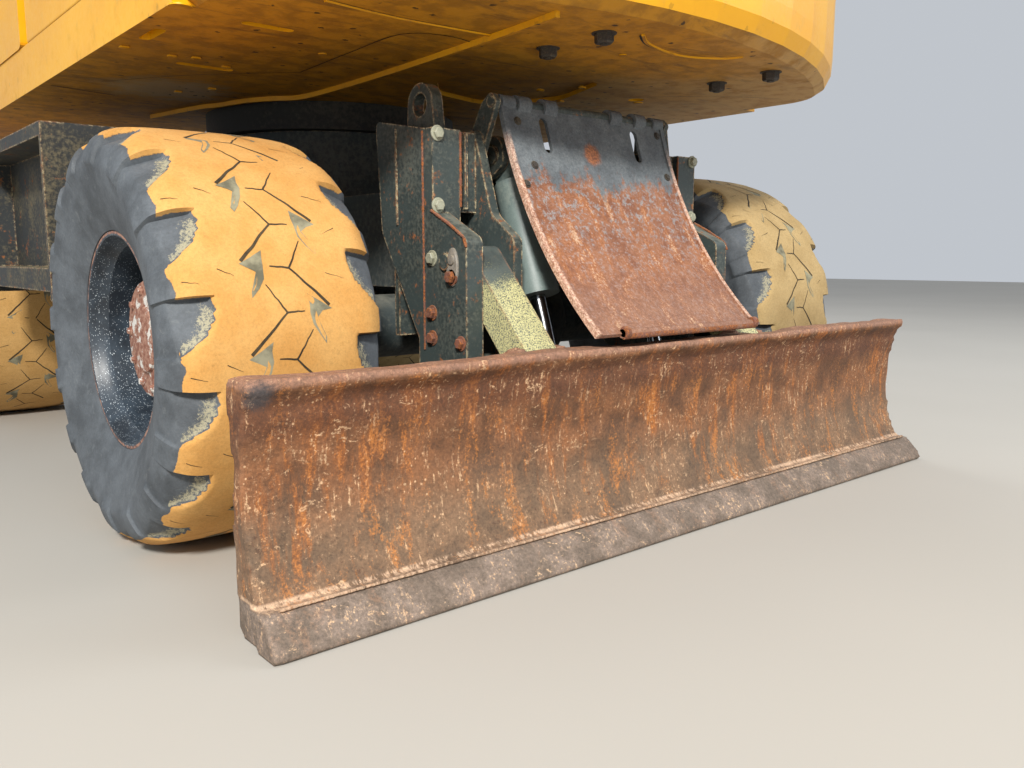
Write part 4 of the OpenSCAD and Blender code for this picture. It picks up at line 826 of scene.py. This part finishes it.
# Guard: bolts set square on its curved face
guard = nodes["cylinder_guard"].data
guard_skin = BVHTree.FromPolygons([v.co.copy() for v in guard.vertices],
                                  [list(p.vertices) for p in guard.polygons])
GUARD_BOLTS = ((-0.314, 1.21), (-0.287, 1.078), (-0.343, 1.018), (0.334, 1.223), (0.332, 1.078))    # as (x, z)
g = Build()
for x, z in GUARD_BOLTS:
    at, n = guard_skin.ray_cast(P(x, -2.6, z), Vector((0, 1, 0)))[:2]
    if at:
        g.bolt(at, n if n.y < 0 else -n, 0.010, 0.007)
g.make("guard_bolts", BOLTD, "guard", "guard_steel", angle=20)

# the round bar that hangs under the guard's foot, on a lug at each end
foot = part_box("cylinder_guard")[0]
bar = Build()
bar_y, bar_z = foot.y + 0.008, foot.z + 0.0075
bar.tube([(x / 100, bar_y, bar_z) for x in range(-27, 37, 3)], 0.0105, 14)
for x in (-0.262, 0.352):
    lug = facing((x - 0.010, bar_y, bar_z + 0.010), (1, 0, 0))
    bar.turned(lug, [(0.014, 0.0), (0.017, 0.003), (0.017, 0.017), (0.014, 0.020)], 20)
bar.make("guard_foot_bar", RBOLT, "guard", "guard_steel")

# Underside of the upper structure
TAIL_BOLTS = ((-0.217, -1.711), (-0.217, -1.944), (0.61, -1.722), (0.595, -1.956))      # as (x, y)
heads, seams, bars, plates = Build(), Build(), Build(), Build()
for x, y in TAIL_BOLTS:
    m = facing(P(x, y, DECK), (0, 0, -1))
    heads.turned(m, [(0.036, -0.001), (0.036, 0.003)], 24)
    heads.turned(m, [(0.0285, 0.003), (0.0285, 0.024), (0.025, 0.029)], 6)
    heads.turned(m, [(0.012, 0.024), (0.012, 0.033)], 12)
heads.make("tail_bolts", BOLTD, "upper", "dark_steel", angle=20)
# lines under the deck, as (x, y)
RIDGE = [(-0.711, 0.341), (-0.640, -0.037), (-0.60, -0.14), (-0.56, -0.30), (-0.50, -0.42), (-0.42, -0.56),
         (-0.414, -1.075), (-0.44, -1.628), (-0.458, -1.899), (-0.47, -2.02)]
CRESCENT = [(-0.125, -2.008), (-0.021, -1.945), (0.159, -1.913), (0.289, -1.97), (0.327, -2.03)]
SEAM = [(-0.971, -1.715), (-0.741, -1.699), (-0.44, -1.722)]
for line, w, h in ((RIDGE, 0.016, 0.017), (SEAM, 0.010, 0.005), (CRESCENT, 0.010, 0.006)):
    bars.ribbon(curve([P(x, y, DECK) for x, y in line], 6), w, h, (0, 0, -1))
bars.make("underside_bars", YEL, "upper", "yellow_paint")


def seam_line(pts, w, dx=0.0, dy=0.0):
    """A thin dark strip under the deck that reads as a seam."""
    c = curve([(x + dx, y + dy, 0) for x, y in pts])
    v = []
    for i, p in enumerate(c):
        t = (c[min(i + 1, len(c) - 1)] - c[max(i - 1, 0)]).normalized()
        nrm = Vector((-t.y, t.x, 0)) * w / 2 * (0.7 + 0.5 * noise.noise(p * 14))
        v += [P(p.x + nrm.x, p.y + nrm.y, DECK - 0.0015), P(p.x - nrm.x, p.y - nrm.y, DECK - 0.0015)]
    seams.add(v, [(2 * i, 2 * i + 1, 2 * i + 3, 2 * i + 2) for i in range(len(c) - 1)])


seam_line(CRESCENT, 0.012, 0.004, 0.012)
seam_line(RIDGE[3:-1], 0.005, 0.013)
seam_line(SEAM, 0.004, 0.0, -0.010)
seam_line([(-0.629, -0.911), (-0.647, -1.277), (-0.649, -1.56), (-0.528, -1.634), (-0.381, -1.60)], 0.006)
seam_line([(-1.10, -0.30), (-0.90, -0.62), (-0.629, -0.911)], 0.005)
seam_line([(0.55, -1.30), (0.80, -1.55), (1.05, -1.70)], 0.004)
seam_line([(-1.22, -0.109), (-0.981, -0.056)], 0.010)
seams.make("underside_seams", BLACKR, "upper", "dark_steel")
TABS = ((-1.05, -0.88), (-1.201, -0.904), (-0.983, -0.901), (-0.859, -0.837), (-0.823, -0.298),
        (-0.748, -0.439), (0.20, -1.22), (0.28, -1.36), (0.42, -1.10))
PLUGS = ((-1.224, -1.432, 0.030), (0.703, -1.263, 0.020), (-0.70, -1.20, 0.014), (0.02, -1.80, 0.012))
for x, y in TABS:
    c, e = P(x, y, DECK), 0.014
    plates.box((c.x - e, c.y - e * 0.7, c.z - 0.009), (c.x + e, c.y + e * 0.7, c.z + 0.001))
for x, y, r in PLUGS:
    plates.turned(facing(P(x, y, DECK), (0, 0, -1)), [(r, -0.001), (r, 0.003), (r * 0.8, 0.004)], 20)
plates.make("underside_tabs", YEL, "upper", "yellow_paint")


# Seat: crowned cushions in the place of the plain solid
def cushion(name, at, size, crown, lean=0.0, channels=2, waist=0.02):
    """A padded block: crowned faces, sides drawn in between the corners, sewn channels across its face."""
    n, b = 22, Build()
    m = Matrix.Translation(at) @ Matrix.Rotation(lean, 4, "X")

    def form(u, v, w):
        """The point at u, v from -1 to 1, on the face w = 1 or on the back w = -1."""
        a, c = 1 - u ** 4, 1 - v ** 4
        x = u * (size[0] / 2 - waist * (1 - v * v) * (1 if abs(u) > 0.7 else 0.4))
        y = v * (size[1] / 2 - waist * (1 - u * u) * (1 if abs(v) > 0.7 else 0.4))
        z = w * (size[2] / 2) * (0.70 + 0.30 * min(a, c)) + (crown if w > 0 else -crown * 0.25) * a * c
        if w > 0:
            for k in range(channels):
                z -= 0.010 * math.exp(-((v - (k + 1) * 2 / (channels + 1) + 1) / 0.05) ** 2)
            z -= 0.008 * math.exp(-((abs(u) - 0.72) / 0.05) ** 2)
        return x, y, z
    edge = [sin(pi / 2 * (2 * i / n - 1)) for i in range(n + 1)]
    grid = [(w, i, j) for w in (1, -1) for i in range(n + 1) for j in range(n + 1)]
    spot = {place: k for k, place in enumerate(grid)}
    verts = [form(edge[i], edge[j], w) for w, i, j in grid]
    faces = [tuple(spot[w, i + p, j + q] for p, q in ((0, 0), (1, 0), (1, 1), (0, 1))) for w in (1, -1)
             for i in range(n) for j in range(n)]
    ring = [(i, 0) for i in range(n)] + [(n, j) for j in range(n)] + [(n - i, n) for i in range(n)]
    ring += [(0, n - j) for j in range(n)]
    for (i, j), (p, q) in zip(ring, ring[1:] + ring[:1]):
        faces.append((spot[1, i, j], spot[1, p, q], spot[-1, p, q], spot[-1, i, j]))
    b.add(verts, faces, m)
    piping = [m @ Vector(form(edge[i] * 0.985, edge[j] * 0.985, 1)) for i, j in ring[::2]]
    b.tube(piping + [piping[0]], 0.004, 6)
    o = b.make(name, CLOTH, "upper", "seat_cloth", angle=60)
    return o


SEAT_X, BACK_LEAN = -0.79, radians(-83)
cushion("seat_cushion", P(SEAT_X, 0.68, 1.905), (0.50, 0.49, 0.105), 0.016)
cushion("seat_back", P(SEAT_X, 0.385, 2.26), (0.46, 0.60, 0.095), 0.014, BACK_LEAN, 3)
cushion("seat_headrest", P(SEAT_X, 0.345, 2.635), (0.27, 0.13, 0.085), 0.012, BACK_LEAN, 0)
# the pan: a base box, three folds of its bellows, a tray and the two tubes of the back
pan = Build()
pan.box(P(SEAT_X - 0.21, 0.44, 1.61), P(SEAT_X + 0.21, 0.88, 1.72), 0.012)
for z in (1.74, 1.775, 1.81):
    pan.box(P(SEAT_X - 0.18, 0.47, z), P(SEAT_X + 0.18, 0.86, z + 0.022), 0.010)
pan.box(P(SEAT_X - 0.25, 0.43, 1.835), P(SEAT_X + 0.25, 0.91, 1.856), 0.008)
RISE = ((0.45, 1.845), (0.40, 1.90), (0.34, 2.10), (0.315, 2.40), (0.30, 2.68))
for x in (SEAT_X - 0.11, SEAT_X + 0.11):
    pan.tube(curve([P(x, y, z) for y, z in RISE], 5), 0.013)
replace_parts(pan.make("seat_pan", DARKP, "upper", "dark_plastic"), "seat")

# Trims of the upper structure
lamp_lo, lamp_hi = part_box("lamps")
LAMP_R = 0.045
shells, lenses = Build(), Build()
for x in (lamp_lo.x + 0.06, lamp_hi.x - 0.06):
    m = facing(Vector((x, lamp_lo.y + 0.004, lamp_hi.z - LAMP_R)), (0, 1, 0))
    shells.turned(m, [(0.022, 0.0), (0.040, 0.010), (LAMP_R, 0.030), (LAMP_R, 0.052),
                      (0.041, 0.054), (0.039, 0.046)], 28)
    lenses.turned(m, [(0.0385, 0.045), (0.036, 0.049), (0.015, 0.0515), (0.0005, 0.052)], 28)
    shells.box((x - 0.05, lamp_lo.y + 0.004, lamp_lo.z), (x + 0.05, lamp_lo.y + 0.054, lamp_lo.z + 0.012))
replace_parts(shells.make("lamp_shells", RAIL, "upper", "dark_plastic"), "lamps")
lenses.make("lamp_lenses", LENS, "upper", "lamp")

# the door's lock and its bowed handle
grips, wiper, pipes = Build(), Build(), Build()
DOOR_SKIN, HANDLE_Y = -SIDE - 0.003, 1.33
grips.box(P(DOOR_SKIN - 0.012, 1.345, 2.02), P(DOOR_SKIN + 0.002, 1.415, 2.10), 0.004)
BOW = ((0.0, 2.20), (-0.05, 2.21), (-0.055, 2.35), (-0.05, 2.49), (0.0, 2.50))
grips.tube(curve([P(DOOR_SKIN + x, HANDLE_Y, z) for x, z in BOW], 5), 0.010)
grips.make("door_handle", BLACKR, "door", "dark_plastic")
# the wiper's arm and blade, just in front of the sloping glass
wiper.tube([P(-0.80, 1.690, 1.985), P(-0.80, 1.690, 2.02), P(-0.66, 1.632, 2.42)], 0.007)
wiper.tube([P(-0.665, 1.670, 2.12), P(-0.655, 1.576, 2.70)], 0.006)
wiper.make("wiper", BLACKR, "upper", "dark_plastic")
BOOM_Y, BOOM_Z, BOOM_TURN = 0.330, 1.990, radians(13.686)       # the boom's foot pin and its rise at rest


def on_boom(x, a, b):
    """A point of the boom, a along the line of its pins and b above it."""
    c, s = cos(BOOM_TURN), sin(BOOM_TURN)
    return P(x, BOOM_Y + a * c - b * s, BOOM_Z + a * s + b * c)


# the boom's top edge, with two pipes on each side and clips that hold them
SPINE = ((0.35, 0.350), (1.20, 0.659), (2.00, 0.955), (2.30, 0.925), (3.20, 0.642), (4.30, 0.299))
for s in (-1, 1):
    for x in (0.112, 0.145):
        pipes.tube(curve([on_boom(s * x, a, b + 0.022) for a, b in SPINE], 6), 0.013)
    for a, b in SPINE[1::2]:
        c = on_boom(s * 0.129, a, b + 0.018)
        pipes.box((c.x - 0.034, c.y - 0.02, c.z - 0.022), (c.x + 0.034, c.y + 0.02, c.z + 0.022), 0.004)
pipes.make("boom_pipes", STEEL, "boom", "dark_steel")

# Stage, light and camera
bpy.ops.mesh.primitive_plane_add(size=60, location=(0, 0, -0.001))
floor = bpy.context.object
floor.name = "floor"
fm = Mat("floor_pale")
floor.data.materials.append(fm.out(fm.mix(fm.noise(0.6, 2), "aeaaa2", "b8b4ac"), 0.8))

world = bpy.data.worlds.new("studio")
bpy.context.scene.world = world
world.use_nodes = True
world.node_tree.nodes["Background"].inputs[0].default_value = (0.88, 0.93, 1.0, 1)
world.node_tree.nodes["Background"].inputs[1].default_value = 0.6


def area(name, at, to, size, power, color=(1, 1, 1)):
    """An area light at one place, turned to another."""
    lamp = bpy.data.lights.new(name, "AREA")
    lamp.size, lamp.energy, lamp.color = size, power, color
    o = bpy.data.objects.new(name, lamp)
    o.location = at
    o.rotation_mode = "QUATERNION"
    o.rotation_quaternion = (Vector(to) - Vector(at)).to_track_quat("-Z", "Y")
    bpy.context.scene.collection.objects.link(o)


# the key stands high behind the camera
area("key", P(-7.2, -9.2, 7.4), P(-0.2, -1.5, 0.6), 1.4, 2150, (1.0, 0.965, 0.91))
area("fill", P(7, -6, 6), P(0, 0, 1), 6, 260, (0.9, 0.95, 1.0))
area("back", P(3, 9, 8), P(0, 1, 1.5), 6, 500)

FRAME_PX, FOCAL_PX, SENSOR = 1024, 866.25, 36.0     # the photograph's width, and its focal length in pixels
cam = bpy.data.cameras.new("camera")
cam.sensor_fit, cam.sensor_width, cam.lens = "HORIZONTAL", SENSOR, SENSOR * FOCAL_PX / FRAME_PX
cam.clip_start, cam.clip_end = 0.05, 100
co = bpy.data.objects.new("camera", cam)
bpy.context.scene.collection.objects.link(co)
co.location = P(-2.0835, -3.7233, 0.7999)
yaw, dip = radians(40.57), radians(8.26)        # from +Y towards +X, and down
look = Vector((sin(yaw) * cos(dip), cos(yaw) * cos(dip), -sin(dip)))
co.rotation_mode = "QUATERNION"
co.rotation_quaternion = look.to_track_quat("-Z", "Y")
bpy.context.scene.camera = co
bpy.context.scene.view_settings.view_transform = "Standard"
